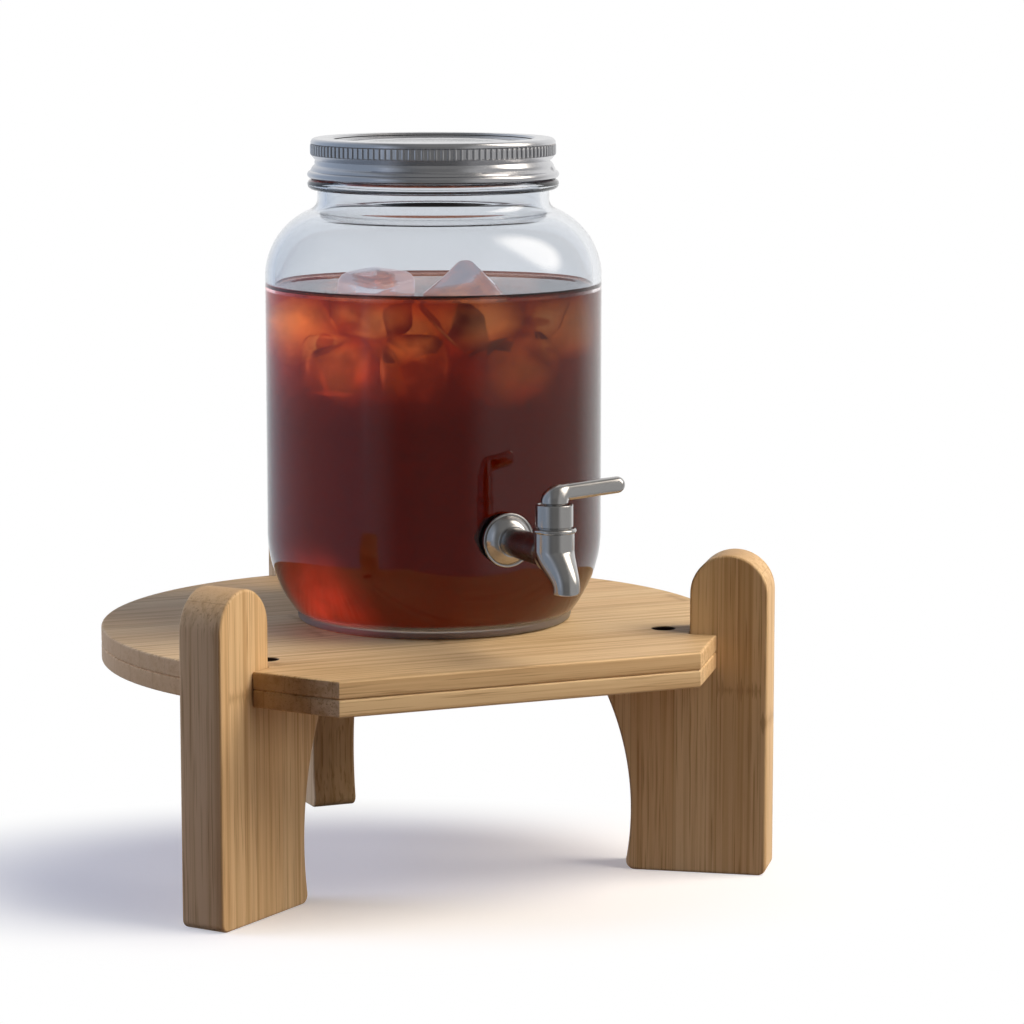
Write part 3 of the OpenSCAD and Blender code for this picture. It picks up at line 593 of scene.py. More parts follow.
def plateHoles(low):
    s = plateSizes
    top = s["thick"]
    wall = [(s["head"] + s["rim"], top), (s["head"], top - s["rim"])]
    wall += [(s["head"], s["seat"]), (s["shank"], s["seat"]), (s["shank"], 0)] if low else [(s["head"], 0)]
    return [((s["screwAt"] * math.cos(math.radians(a)), s["screwAt"] * math.sin(math.radians(a))), wall)
            for a in legSizes["turns"].values()]


for name, node, height, low in (("plateUpper", "plate_upper", plateTop - plateSizes["thick"], False),
                                ("plateLower", "plate_lower", plateLow, True)):
    # slats run from side to side; the lower plate is laid from other slats
    along, across, through = (low * step for step in plateSizes["boardStep"])
    board = easedBoard(plateOutline(), plateSizes["thick"], plateSizes["edge"],
                       lambda u, v, w: (u + along, v + plateSizes["slatShift"] + across, w + through),
                       plateHoles(low))
    board.transform(onStand @ Matrix.Translation((0, 0, height * mm)))
    belongs(toObject(name, board, bamboo), "stand", [node])
print("stand: plates and legs")

# Cap screws at the bottom of the plate's holes
screwSizes = {"head": 10, "headHeight": 5, "shank": 6, "length": 24, "key": 5}


def screwTree():
    tree = bpy.data.node_groups.new("plateScrews", "GeometryNodeTree")
    tree.interface.new_socket("Seats", in_out="INPUT", socket_type="NodeSocketGeometry")
    for name in ("Head", "Head Height", "Shank", "Length", "Key"):
        tree.interface.new_socket(name, in_out="INPUT", socket_type="NodeSocketFloat")
    tree.interface.new_socket("Screws", in_out="OUTPUT", socket_type="NodeSocketGeometry")
    given = addNode(tree, "NodeGroupInput").outputs

    # each by its sides, width and height, and by how many heights its middle lies above the seat
    bars = []
    for sides, width, height, middle in ((40, "Head", "Head Height", 0.5), (6, "Key", "Head Height", 1.0),
                                         (24, "Shank", "Length", -0.5)):
        radius = addNode(tree, "ShaderNodeMath", {"operation": "MULTIPLY", 0: given[width], 1: 0.5})
        bar = addNode(tree, "GeometryNodeMeshCylinder", {
            "Vertices": sides, "Radius": radius.outputs[0], "Depth": given[height]})
        lift = addNode(tree, "ShaderNodeMath", {"operation": "MULTIPLY", 0: given[height], 1: middle})
        place = addNode(tree, "ShaderNodeCombineXYZ", {"Z": lift.outputs[0]})
        moved = addNode(tree, "GeometryNodeTransform", {
            "Geometry": bar.outputs["Mesh"], "Translation": place.outputs[0]})
        bars.append(moved.outputs[0])
    head, socket, shank = bars
    holed = addNode(tree, "GeometryNodeMeshBoolean", {
        "operation": "DIFFERENCE", "Mesh 1": head, "Mesh 2": socket})
    screw = addNode(tree, "GeometryNodeJoinGeometry")
    tree.links.new(holed.outputs[0], screw.inputs[0])
    tree.links.new(shank, screw.inputs[0])
    seats = addNode(tree, "GeometryNodeMeshToPoints", {"Mesh": given["Seats"]})
    placed = addNode(tree, "GeometryNodeInstanceOnPoints", {
        "Points": seats.outputs[0], "Instance": screw.outputs[0]})
    real = addNode(tree, "GeometryNodeRealizeInstances", {"Geometry": placed.outputs[0]})
    dressed = addNode(tree, "GeometryNodeSetMaterial", {"Geometry": real.outputs[0], "Material": blackSteel})
    addNode(tree, "NodeGroupOutput", {"Screws": dressed.outputs[0]})
    return tree


def grown(piece, tree, sizes):
    modifier = piece.modifiers.new(tree.name, "NODES")
    modifier.node_group = tree
    inputs = {item.name: item.identifier for item in tree.interface.items_tree if item.in_out == "INPUT"}
    for name, value in sizes.items():
        modifier[inputs[name]] = value
    return settled(piece, 35)


seats = bmesh.new()
for a in legSizes["turns"].values():
    at = Vector((math.cos(math.radians(a)), math.sin(math.radians(a)), 0)) * plateSizes["screwAt"]
    at.z = plateLow + plateSizes["seat"]
    seats.verts.new(onStand @ (at * mm))
screws = grown(toObject("plateScrews", seats, blackSteel), screwTree(), {
    "Head": screwSizes["head"] * mm, "Head Height": screwSizes["headHeight"] * mm,
    "Shank": screwSizes["shank"] * mm, "Length": screwSizes["length"] * mm,
    "Key": screwSizes["key"] / math.cos(math.radians(30)) * mm})
belongs(screws, "stand", ["plate_screws"])
print("stand: screws")

# Jar: pressed glass with a heavy foot, round shoulder, bead and a thread for the band
jarSizes = {"radius": 77.5, "wall": 4, "floor": 3.5, "pushUp": 3, "shoulderZ": 159, "shoulder": 33.3,
            "heelZ": 41, "heel": 58, "foot": 3.4, "neck": 53.3, "fillet": 5, "neckRise": 4.5, "bead": 2.4,
            "beadOut": 4.5, "finish": 15, "finishIn": 0.9, "thread": 0.55, "pitch": 5.5, "threadAt": 3.2,
            "threadWidth": 0.9, "threadEnd": 1.5, "ringIn": 14, "ringFlat": 9, "ringEdge": 2, "uneven": 0.12,
            "hole": 6.25, "segments": 192}
s = jarSizes
shoulderR = s["radius"] - s["shoulder"]
filletR = s["neck"] + s["fillet"]
filletZ = s["shoulderZ"] + math.sqrt((s["shoulder"] + s["fillet"]) ** 2 - (filletR - shoulderR) ** 2)
filletTurn = math.degrees(math.atan2(filletZ - s["shoulderZ"], filletR - shoulderR))
heelR = s["radius"] - s["heel"]
footTurn = math.degrees(math.asin((s["foot"] - s["heelZ"]) / s["heel"]))
footR = heelR + s["heel"] * math.cos(math.radians(footTurn))
floorZ = s["pushUp"] + s["floor"]
beadZ = filletZ + s["neckRise"] + s["bead"]
beadTop = beadZ + s["bead"]
finishR = s["neck"] - s["finishIn"]
mouthR = s["neck"] - s["wall"]
rimZ = beadTop + s["finish"]
rim = (finishR - mouthR) / 2


def innerWall(gap, top):
    # inner face of the glass from the mouth or the drink's surface down to the floor, gap into the glass
    wall = s["wall"] - gap
    turn = math.degrees(math.asin((floorZ - gap - s["heelZ"]) / (s["heel"] - wall)))
    floorR = heelR + (s["heel"] - wall) * math.cos(math.radians(turn))
    return (straight((s["radius"] - wall, top), (s["radius"] - wall, s["heelZ"]), 6)
            + arc((heelR, s["heelZ"]), s["heel"] - wall, 0, turn, 36)
            + straight((floorR, floorZ - gap), (0, floorZ - gap), 6) + [(0, floorZ - gap)])


def jarProfile():
    hollow, edge = (footR - s["ringIn"], s["pushUp"]), s["ringEdge"]
    outside = ([(0, s["pushUp"])] + straight((0, s["pushUp"]), hollow, 6)
               + [hollow, (footR - s["ringFlat"], 0)] + arc((footR - edge, edge), edge, -90, 0, 8)
               + arc((heelR, s["heelZ"]), s["heel"], footTurn, 0, 36)
               + straight((s["radius"], s["heelZ"]), (s["radius"], s["shoulderZ"]), 6)
               + arc((shoulderR, s["shoulderZ"]), s["shoulder"], 0, filletTurn, 36)
               + arc((filletR, filletZ), s["fillet"], 180 + filletTurn, 180, 12)
               + [(s["neck"], beadZ - s["bead"])]
               + arc((s["neck"] + s["beadOut"] - s["bead"], beadZ), s["bead"], -90, 90, 16)
               + [(finishR, beadTop)] + straight((finishR, beadTop), (finishR, rimZ - rim), 0.5))
    inside = (arc((mouthR + rim, rimZ - rim), rim, 0, 180, 12)
              + straight((mouthR, rimZ - rim), (mouthR, filletZ), 4)
              + arc((filletR, filletZ), s["fillet"] + s["wall"], 180, 180 + filletTurn, 12)
              + arc((shoulderR, s["shoulderZ"]), s["shoulder"] - s["wall"], filletTurn, 0, 30))
    return outside + inside + innerWall(0, s["shoulderZ"])


def glassThread(r, z, angle):
    # two turns of rounded thread on the finish that end under the rim, and slightly uneven inner walls
    if abs(r - finishR) < 0.01 and z > beadTop:
        bump = 0
        for lead in (0, 1):
            lift = beadTop + s["threadAt"] + s["pitch"] * (lead + angle / (2 * math.pi))
            bump += math.exp(-((z - lift) / s["threadWidth"]) ** 2)
        fade = min(1, max(0, (rimZ - s["threadEnd"] - z) / s["threadEnd"]))
        return r + s["thread"] * min(1, bump) * fade
    if z > floorZ + 4 and z < s["shoulderZ"] and r < s["radius"] - s["wall"] + 0.01 and r > s["radius"] - 12:
        return r + s["uneven"] * math.sin(3 * angle + z / 23) * math.sin(z / 31 + 1)
    return r


jar = toObject("jarGlass", lathe(jarProfile(), s["segments"], glassThread), glass, 40)
jar.data.transform(onJar)
drillFrom, drillTo = s["radius"] - 12, s["radius"] + 6
drill = lathe([(0, drillFrom), (s["hole"], drillFrom), (s["hole"], drillTo), (0, drillTo)], 64)
cutter = toObject("drill", drill, glass)
cutter.data.transform(onShank)
cutBy(jar, cutter, 40)
jar.data.materials.append(wetGlass)
for face in jar.data.polygons:
    # the faces that look inwards or up, below the drink's level
    outwards = Vector((face.center.x - jarAxis.x, face.center.y - jarAxis.y, 0)).normalized()
    if face.center.z < drinkTop and face.normal.dot(outwards - Vector((0, 0, 1))) < 0:
        face.material_index = 1
belongs(jar, "jar", ["jar"])
print("jar:", len(jar.data.polygons), "faces")

# Drink and ice fill the jar; they are what it holds and not parts of it
# ice cubes go by how far right of the axis, towards the camera and above the drink's level their middle is,
# with their size and their turn about the three axes: two lie where they are seen, the others are packed
cubeSizes = {"seen": ((-25, 44, -4.5, 28, (6, -5, 24)), (17, 46, -7, 31, (40, 28, 38))), "packed": 15,
             "seed": 5, "size": (24, 28), "spread": 50, "from": 19, "fall": 55, "crowding": 1.6, "room": 67.5,
             "corner": 0.66, "apart": 0.63, "push": 0.3, "rise": 0.02, "under": 2, "half": 0.62, "floats": 3,
             "lowest": 78, "rounds": 6000, "deepest": 50, "rounded": 0.2, "wave": 0.018, "bowed": 0.05,
             "glowCoreTo": 0.86, "hollow": 0.25}


def packedIce():
    # cubes are drawn at random, then pushed apart, held off the glass and let rise a little in every round;
    # those that end up below the deepest level are taken out
    p = cubeSizes
    draw = numpy.random.default_rng(p["seed"])
    places, sizes, turns = ([cube[part] for cube in p["seen"]] for part in (slice(3), 3, 4))
    for k in range(p["packed"]):
        sizes.append(draw.uniform(*p["size"]))
        out = p["spread"] * math.sqrt(draw.uniform())
        around = draw.uniform(0, 2 * math.pi)
        down = p["from"] + p["fall"] * draw.uniform() ** p["crowding"]
        places.append((out * math.cos(around), out * math.sin(around), -down))
        turns.append(tuple(int(turn) for turn in draw.uniform(0, 90, 3)))
    places, sizes = numpy.array(places), numpy.array(sizes)
    loose = numpy.arange(len(sizes)) >= len(p["seen"])
    room = p["room"] - p["corner"] * sizes
    need = p["apart"] * (sizes[:, None] + sizes)
    for k in range(p["rounds"]):
        between = places[:, None] - places
        gap = numpy.linalg.norm(between, axis=2)
        numpy.fill_diagonal(gap, need.max())
        push = between * (numpy.clip(need - gap, 0, None) / gap)[..., None]
        places += p["push"] * push.sum(1) * loose[:, None]
        radius = numpy.hypot(places[:, 0], places[:, 1])
        places[:, :2] *= numpy.where(loose & (radius > room), room / radius, 1)[:, None]
        height = numpy.clip(places[:, 2], -p["lowest"], -p["under"] - p["half"] * sizes)
        height += p["rise"] * (height < -p["floats"] - p["corner"] * sizes)
        places[:, 2] = numpy.where(loose, height, places[:, 2])
    return [(*(round(float(x)) for x in places[k]), round(float(sizes[k])), turns[k])
            for k in numpy.argsort(-places[:, 2]) if places[k, 2] > -p["deepest"]]


def iceCube(right, near, up, size, turn, shrink):
    m = cubeSizes
    bm = bmesh.new()
    bmesh.ops.create_cube(bm, size=1)
    bmesh.ops.bevel(bm, geom=bm.edges[:], offset=m["rounded"], segments=5, profile=0.5, affect="EDGES")
    bmesh.ops.subdivide_edges(bm, edges=bm.edges[:], cuts=2, use_grid_fill=True)
    iceGlow = bm.verts.layers.float.new("iceGlow")
    for v in bm.verts:
        # melted: sides bow in and the skin is uneven; the milky core, and with it the painted glow, shows
        # through the middle of a side
        p = v.co
        v[iceGlow] = 1 - ease(min(1, 2 * sorted(map(abs, p))[1] / m["glowCoreTo"]))
        wave = m["wave"] * (math.sin(9 * p.x + 5 * p.y + right) + math.sin(8 * p.z - 6 * p.x + near))
        v.co = p * (1 + wave - m["bowed"] * (1 - (2 * max(abs(p.x), abs(p.y), abs(p.z))) ** 2))
    place = jarAxis + (sideways * right - forward * near) * mm
    place.z += (drinkSizes["level"] + up) * mm
    aboutX, aboutY, aboutZ = (Matrix.Rotation(math.radians(a), 4, axis) for a, axis in zip(turn, "XYZ"))
    bm.transform(Matrix.Translation(place) @ aboutZ @ aboutY @ aboutX
                 @ Matrix.Scale((size - 2 * shrink) * mm, 4))
    return bm


d = drinkSizes
wet, brim = s["radius"] - s["wall"] + d["overlap"], d["level"] + d["meniscus"]
flat = (wet - d["climbAt"], d["level"])
surface = [(0, d["level"])] + straight((0, d["level"]), flat, 5) + [flat]
surface += [(wet - x, d["level"] + d["meniscus"] * math.exp(-x / d["climb"]))
            for x in (6, 4.5, 3.2, 2.2, 1.4, 0.8, 0.4)]
surface += [(wet, brim)]
drink = toObject("drink", lathe(surface + innerWall(d["overlap"], brim), 160), tea, 60)
drink.data.transform(onJar)
iceCubes = packedIce()
hollows = joined(*[iceCube(*cube, cubeSizes["hollow"]) for cube in iceCubes])
cutBy(drink, toObject("hollows", hollows, tea), 60)
belongs(drink, "jar")
belongs(toObject("iceCubes", joined(*[iceCube(*cube, 0) for cube in iceCubes]), ice, 60), "jar")
print("drink and", len(iceCubes), "ice cubes")

# Lid: a pressed disc under a rolled screw band
bandSizes = {"sheet": 0.9, "liner": 1.2, "fit": 0.3, "threadFit": 0.9, "gripOut": 2, "ringWidth": 10,
             "edge": 2.2, "ribs": 120, "ribHeight": 5, "ribDepth": 0.5, "ribWidth": 1.5, "ribBar": 1.5,
             "ribBelow": 2.7, "curl": 1.7, "curlOut": 0.2, "crease": 0.7, "creaseBelow": 2.4,
             "creaseFall": 3.6, "creaseWidth": 0.8, "segments": 360}
b = bandSizes
lidZ = rimZ + b["fit"] + b["liner"]
threadR = finishR + b["threadFit"] + b["sheet"]
gripR = threadR + b["gripOut"]
bandTop = lidZ + 2 * b["sheet"] + b["fit"]
bandIn = gripR - b["ringWidth"]
curlZ = beadTop + b["fit"] + b["curl"]
curlR = threadR + b["curl"] + b["curlOut"]
gripLow = bandTop - b["ribBelow"] - b["ribHeight"]
creaseZ = gripLow - b["creaseBelow"]
# the disc's panel lies lower than its edge and has pressed rings, given by their radius and rise
discSizes = {"panelIn": 4, "panelDrop": 1, "stepOut": 1, "stepWidth": 1.5, "edgeIn": 3.1,
             "beads": {36: 0.25, 33: -0.2}, "beadWidth": 1.2}


def discProfile():
    p = discSizes
    panel, edge = mouthR - p["panelIn"], gripR - p["edgeIn"]
    low, high = lidZ - p["panelDrop"], lidZ + b["sheet"]
    # a rounded step down to the panel
    step = [(panel + p["stepOut"] - p["stepWidth"] * k / 10,
             high - p["panelDrop"] * (1 - math.cos(math.pi * k / 10)) / 2) for k in range(10)]
    top = []
    for k in range(60):
        r = (panel + p["stepOut"] - p["stepWidth"]) * (1 - k / 59)
        beads = sum(rise * math.exp(-((r - at) / p["beadWidth"]) ** 2) for at, rise in p["beads"].items())
        top.append((r, high - p["panelDrop"] + beads))
    return [(0, low), (panel, low), (panel + p["stepWidth"], lidZ), (edge, lidZ), (edge, high)] + step + top


disc = lathe(discProfile(), 180)
disc.transform(onJar)
belongs(toObject("lidDisc", disc, tinplate, 50), "lid", ["lid_disc"])


def bandProfile():
    t, edge = b["sheet"], b["edge"]
    bead = arc((curlR, curlZ), b["curl"], 70, -250, 30)
    belly = [(threadR + (curlR + 0.5 - threadR) * k / 10, creaseZ + (curlZ + 1.2 - creaseZ) * k / 10)
             for k in range(1, 10)]
    low = gripR - b["ribDepth"]
    return ([(bandIn, bandTop - t), (bandIn + t, bandTop)]
            + straight((bandIn + t, bandTop), (gripR - edge, bandTop), 2)
            + arc((gripR - edge, bandTop - edge), edge, 90, 0, 12)
            + [(gripR, gripLow + b["ribHeight"] + 0.3), (low, gripLow + b["ribHeight"] - 0.2)]
            + [(low, gripLow + 0.4), (gripR - 0.1, gripLow), (gripR - 0.5, gripLow - 0.5)]
            + [(threadR + 0.35, creaseZ + 0.5), (threadR, creaseZ)] + belly + bead
            + [(threadR - t, creaseZ), (gripR - t - 0.2, gripLow)]
            + arc((gripR - edge, bandTop - edge), edge - t, 0, 90, 8))


def rolledThread(r, z, angle):
    # the band's rolled thread: a shallow groove that winds down round the belly
    if r > threadR - 0.5 and creaseZ + 0.3 > z > curlZ + b["curl"]:
        wind = creaseZ - b["creaseFall"] * ((angle / (2 * math.pi) + 0.1) % 1)
        return r - b["crease"] * math.exp(-((z - wind) / b["creaseWidth"]) ** 2)
    return r


def ribTree():
    tree = bpy.data.node_groups.new("bandRibs", "GeometryNodeTree")
    tree.interface.new_socket("Band", in_out="INPUT", socket_type="NodeSocketGeometry")
    tree.interface.new_socket("Ribs", in_out="INPUT", socket_type="NodeSocketInt")
    for name in ("Radius", "Height", "Width", "Depth", "Middle"):
        tree.interface.new_socket(name, in_out="INPUT", socket_type="NodeSocketFloat")
    tree.interface.new_socket("Axis", in_out="INPUT", socket_type="NodeSocketVector")
    tree.interface.new_socket("Band", in_out="OUTPUT", socket_type="NodeSocketGeometry")
    given = addNode(tree, "NodeGroupInput").outputs
    circle = addNode(tree, "GeometryNodeMeshCircle", {"Vertices": given["Ribs"], "Radius": given["Radius"]})
    points = addNode(tree, "GeometryNodeMeshToPoints", {"Mesh": circle.outputs[0]})
    size = addNode(tree, "ShaderNodeCombineXYZ", {
        "X": given["Depth"], "Y": given["Width"], "Z": given["Height"]})
    bar = addNode(tree, "GeometryNodeMeshCube", {
        "Size": size.outputs[0], "Vertices X": 3, "Vertices Y": 3, "Vertices Z": 4})
    # a rib is a bar rounded at its ends
    soft = addNode(tree, "GeometryNodeSubdivisionSurface", {"Mesh": bar.outputs["Mesh"], "Level": 1})
    where = addNode(tree, "GeometryNodeInputPosition")
    outward = addNode(tree, "FunctionNodeAlignEulerToVector", {"axis": "X", "Vector": where.outputs[0]})
    placed = addNode(tree, "GeometryNodeInstanceOnPoints", {
        "Points": points.outputs[0], "Instance": soft.outputs[0], "Rotation": outward.outputs[0]})
    real = addNode(tree, "GeometryNodeRealizeInstances", {"Geometry": placed.outputs[0]})
    rise = addNode(tree, "ShaderNodeCombineXYZ", {"Z": given["Middle"]})
    spot = addNode(tree, "ShaderNodeVectorMath", {"operation": "ADD", 0: given["Axis"], 1: rise.outputs[0]})
    lifted = addNode(tree, "GeometryNodeTransform", {
        "Geometry": real.outputs[0], "Translation": spot.outputs[0]})
    both = addNode(tree, "GeometryNodeJoinGeometry")
    tree.links.new(given["Band"], both.inputs[0])
    tree.links.new(lifted.outputs[0], both.inputs[0])
    whole = addNode(tree, "GeometryNodeRealizeInstances", {"Geometry": both.outputs[0]})
    dressed = addNode(tree, "GeometryNodeSetMaterial", {"Geometry": whole.outputs[0], "Material": tinplate})
    addNode(tree, "NodeGroupOutput", {"Band": dressed.outputs[0]})
    return tree


band = lathe(bandProfile(), b["segments"], rolledThread)
band.transform(onJar)
band = grown(toObject("screwBand", band, tinplate, 40), ribTree(), {
    "Ribs": b["ribs"], "Radius": (gripR - b["ribDepth"]) * mm, "Height": b["ribHeight"] * mm,
    "Width": b["ribWidth"] * mm, "Depth": b["ribBar"] * mm, "Middle": (gripLow + b["ribHeight"] / 2) * mm,
    "Axis": jarAxis})
belongs(band, "band", ["screw_band"])
print("lid: disc and band")

# Tap: cast body with an S spout, turned flange and bonnet, bent lever
tapSizes = {"flangeAt": 79.5, "flange": 24.5, "flangeThick": 6.5, "shank": 13, "tail": 11, "tailAt": 58.5,
            "valve": 17.5, "valveTop": 10, "collar": 2, "collarOut": 0.9, "spoutOut": 12, "spoutDrop": 15.5,
            "bendAt": 2.5, "bend": 27, "outlet": 11.8, "bore": 8, "bonnet": 16.4, "bonnetHeight": 10.5,
            "stemHole": 7.1, "voxel": 0.3, "smooth": 14}
t = tapSizes
shankAt = t["flangeAt"] + t["flangeThick"]
valveAt = (jarAxis - valveAxis).xy.length / mm
valveR, outletR = t["valve"] / 2, t["outlet"] / 2
collarTop = t["valveTop"] + t["collar"]


def spoutRings():
    out, drop, bore, steps, sides = t["spoutOut"], t["spoutDrop"], t["bore"] / 2, 36, 64
    # from inside the bore round the outlet's lip, then up the S and into the valve
    lip = ((6, bore - 1), (5, bore), (0.3, bore), (0, bore + 0.3), (0, outletR - 0.5), (0.5, outletR))
    rings = [ring((out, up - drop), 0, radius, sides) for up, radius in lip]
    high, low = t["bendAt"], drop - t["bendAt"]
    for k in range(steps, -1, -1):
        f = k / steps
        rings.append(ring((out * ease(f), high - (high + low) * f), -t["bend"] * math.sin(math.pi * f),
                          valveR + (outletR - valveR) * ease(f), sides))
    return rings + [ring((0, t["valveTop"] + 1), 0, valveR, sides)]


def shankProfile():
    shankR, tailR = t["shank"] / 2, t["tail"] / 2
    flareLength, end = 7, valveR - 0.9
    flareAt = valveAt - valveR - flareLength / 2
    flare = [(shankR + (end - shankR) * (k / 16) ** 2, flareAt + flareLength * k / 16) for k in range(17)]
    return ([(0, t["tailAt"]), (tailR - 0.8, t["tailAt"]), (tailR, t["tailAt"] + 0.8), (tailR, shankAt),
             (shankR, shankAt)] + flare + [(end, valveAt - 3), (0, valveAt + valveR - 1)])


spout = loft(spoutRings())
spout.transform(onValve @ Matrix.Rotation(-math.pi / 2, 4, "Z"))
shank = lathe(shankProfile(), 96)
shank.transform(onShank)
body = toObject("tapBody", joined(spout, shank), stainless)
# one skin over spout and shank, then the casting's fillet where they meet
skin = body.modifiers.new("skin", "REMESH")
skin.mode = "VOXEL"
skin.voxel_size = t["voxel"] * mm
settle = body.modifiers.new("fillet", "SMOOTH")
settle.factor = 0.5
settle.iterations = t["smooth"]
settled(body, 180)
collarU = valveR + t["collarOut"] - t["collar"] / 2
collar = lathe([(0, t["valveTop"])]
               + arc((collarU, t["valveTop"] + t["collar"] / 2), t["collar"] / 2, -90, 90, 16)
               + [(valveR - 1, collarTop), (valveR - 1.4, collarTop - 0.5), (0, collarTop - 0.5)], 96)
collar.transform(onValve)
bmesh.ops.recalc_face_normals(collar, faces=collar.faces)
collar.from_mesh(body.data)
collar.to_mesh(body.data)
collar.free()
body.data.shade_smooth()
body.data.set_sharp_from_angle(angle=math.radians(50))
belongs(body, "jar", ["tap_body"])


def flangeProfile():
    rimR, rootR, bore = t["flange"] / 2, t["shank"] / 2 + 0.7, t["tail"] / 2 + 0.05
    coneR = rimR - 1.2
    at, thick = t["flangeAt"], t["flangeThick"]
    cone = [(coneR + (rootR - coneR) * f, at + 2 + (thick - 2.4) * f + 0.6 * math.sin(math.pi * f))
            for f in (k / 18 for k in range(19))]
    return ([(bore, at), (rimR - 0.4, at), (rimR, at + 0.4), (rimR, at + 1.4)]
            + arc((rimR - 0.5, at + 1.5), 0.5, 0, 90, 6)
            + [(rimR - 0.9, at + 1.95), (rimR - 1.05, at + 1.75)] + cone
            + [(rootR, shankAt - 0.2), (rootR - 0.2, shankAt), (bore, shankAt)])


flange = lathe(flangeProfile(), 96)
flange.transform(onShank)
belongs(toObject("tapFlange", flange, stainless, 30), "jar", ["tap_flange"])


def bonnetProfile():
    r, stemR, low, high = t["bonnet"] / 2, t["stemHole"] / 2, collarTop, collarTop + t["bonnetHeight"]
    return ([(stemR, low), (r - 0.7, low), (r - 0.7, low + 0.5), (r - 0.2, low + 0.7), (r, low + 0.9)]
            + arc((r - 0.5, high - 0.5), 0.5, 0, 90, 8)
            + [(r - 1.1, high), (r - 1.3, high - 0.35), (stemR, high - 0.35)])


bonnet = lathe(bonnetProfile(), 96)
bonnet.transform(onValve)
belongs(toObject("bonnet", bonnet, stainless, 30), "jar", ["bonnet"])

leverSizes = {"root": 12, "arm": 7.4, "length": 34, "rise": 4, "gap": 0.3, "socket": 4.2, "grub": 2.6}


def leverRings():
    v = leverSizes
    low = collarTop + t["bonnetHeight"] + v["gap"]
    turn, steps, armR, rootR = 90 - v["rise"], 36, v["arm"] / 2, v["root"] / 2
    corner = Vector((rootR + 0.4, low + 0.6))
    a = math.radians(turn)
    way = Vector((math.sin(a), math.cos(a)))
    elbow = corner + (armR + 0.4) * Vector((-math.cos(a), math.sin(a)))
    tip = elbow + way * (v["length"] - armR - elbow.x) / way.x
    rings = [ring((0, low + up), 0, rootR - trim, 48) for up, trim in ((0, 0.4), (0.1, 0.12), (0.4, 0))]
    for k in range(steps + 1):
        f = k / steps
        r = rootR + (armR - rootR) * ease(f)
        turned = math.radians(turn * f)
        inward = Vector((-math.cos(turned), math.sin(turned)))
        rings.append(ring(corner + (r + 0.4) * inward, turn * f, r, 48))
    rings += [ring(elbow + (tip - elbow) * k / 8, turn, armR, 48) for k in range(1, 8)]
    for k in range(9):
        f = math.radians(78 * k / 8)
        rings.append(ring(tip + way * armR * math.sin(f), turn, armR * math.cos(f), 48))
    return rings, low


rings, leverLow = leverRings()
handle = loft(rings)
handle.transform(onValve)
lever = toObject("lever", handle, stainless, 40)
hole = lathe([(0, 3), (leverSizes["grub"] / 2, 3), (leverSizes["grub"] / 2, 8), (0, 8)], 32)
hole.transform(onValve @ Matrix.Translation((0, 0, (leverLow + leverSizes["socket"] / 2) * mm))
               @ Matrix.Rotation(-math.pi / 2, 4, "X"))
cutBy(lever, toObject("grubHole", hole, stainless), 40)
belongs(lever, "lever", ["lever"])
print("tap: body, flange, bonnet, lever")

# CAD pieces that show as they are, in their own finishes
carriedOver = {"threaded_inserts": brass, "lid_liner": linerFoam, "outer_gasket": silicone,
               "inner_gasket": silicone, "clamp_washer": stainless, "lock_nut": stainless,
               "stem_washer": nylon, "valve_plug": stainless, "plug_o_rings": silicone,
               "lever_screw": blackSteel}
for name, material in carriedOver.items():
    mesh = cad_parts[name].data
    mesh.materials.clear()
    mesh.materials.append(material)

# Floor, light and camera: the lit paper's middle by how far right of the stand's and towards the camera it is,
# in mm; other lengths are in metres, and directions run from -1 to 1 along the camera's own axes
stageSizes = {"floor": 0.62, "middle": (-20, 60), "squeeze": 0.62, "fade": (0.12, 0.27), "white": 0.9,
              "lift": 0.25, "paper": "#F6F4F8", "bounce": "#6E5240", "sky": "#DFE8FF", "ambient": 0.36,
              "front": 0.08, "mirrorFront": 0.2, "sides": (0.35, 0.7), "mirrorSides": (0.5, 0.3),
              "backdropFrom": (-0.1, 0.4), "backdropTo": 0.8, "left": (-0.1, -0.8), "leftShade": "#B4C3D8",
              "overhead": 0.25, "overheadTo": 0.6, "aim": 0.17}
g = stageSizes
floorMaterial, tree = newMaterial("studioFloorMatt")
paths = addNode(tree, "ShaderNodeLightPath").outputs
seen = paths["Is Camera Ray"]
for ray in ("Is Glossy Ray", "Is Transmission Ray"):
    seen = addNode(tree, "ShaderNodeMath", {"operation": "MAXIMUM", 0: seen, 1: paths[ray]}).outputs[0]
# white paper as seen, and the warmer, duller table that lights the wood from below
tone = addNode(tree, "ShaderNodeMix", {
    "data_type": "RGBA", "Factor": seen, "A": linear(g["bounce"]), "B": [g["white"]] * 3 + [1]})
paper = addNode(tree, "ShaderNodeBsdfDiffuse", {"Color": tone.outputs["Result"]})
lift = addNode(tree, "ShaderNodeMath", {"operation": "MULTIPLY", 0: seen, 1: g["lift"]})
glow = addNode(tree, "ShaderNodeEmission", {"Color": linear(g["paper"]), "Strength": lift.outputs[0]})
close = addNode(tree, "ShaderNodeAddShader", {0: paper.outputs[0], 1: glow.outputs[0]})
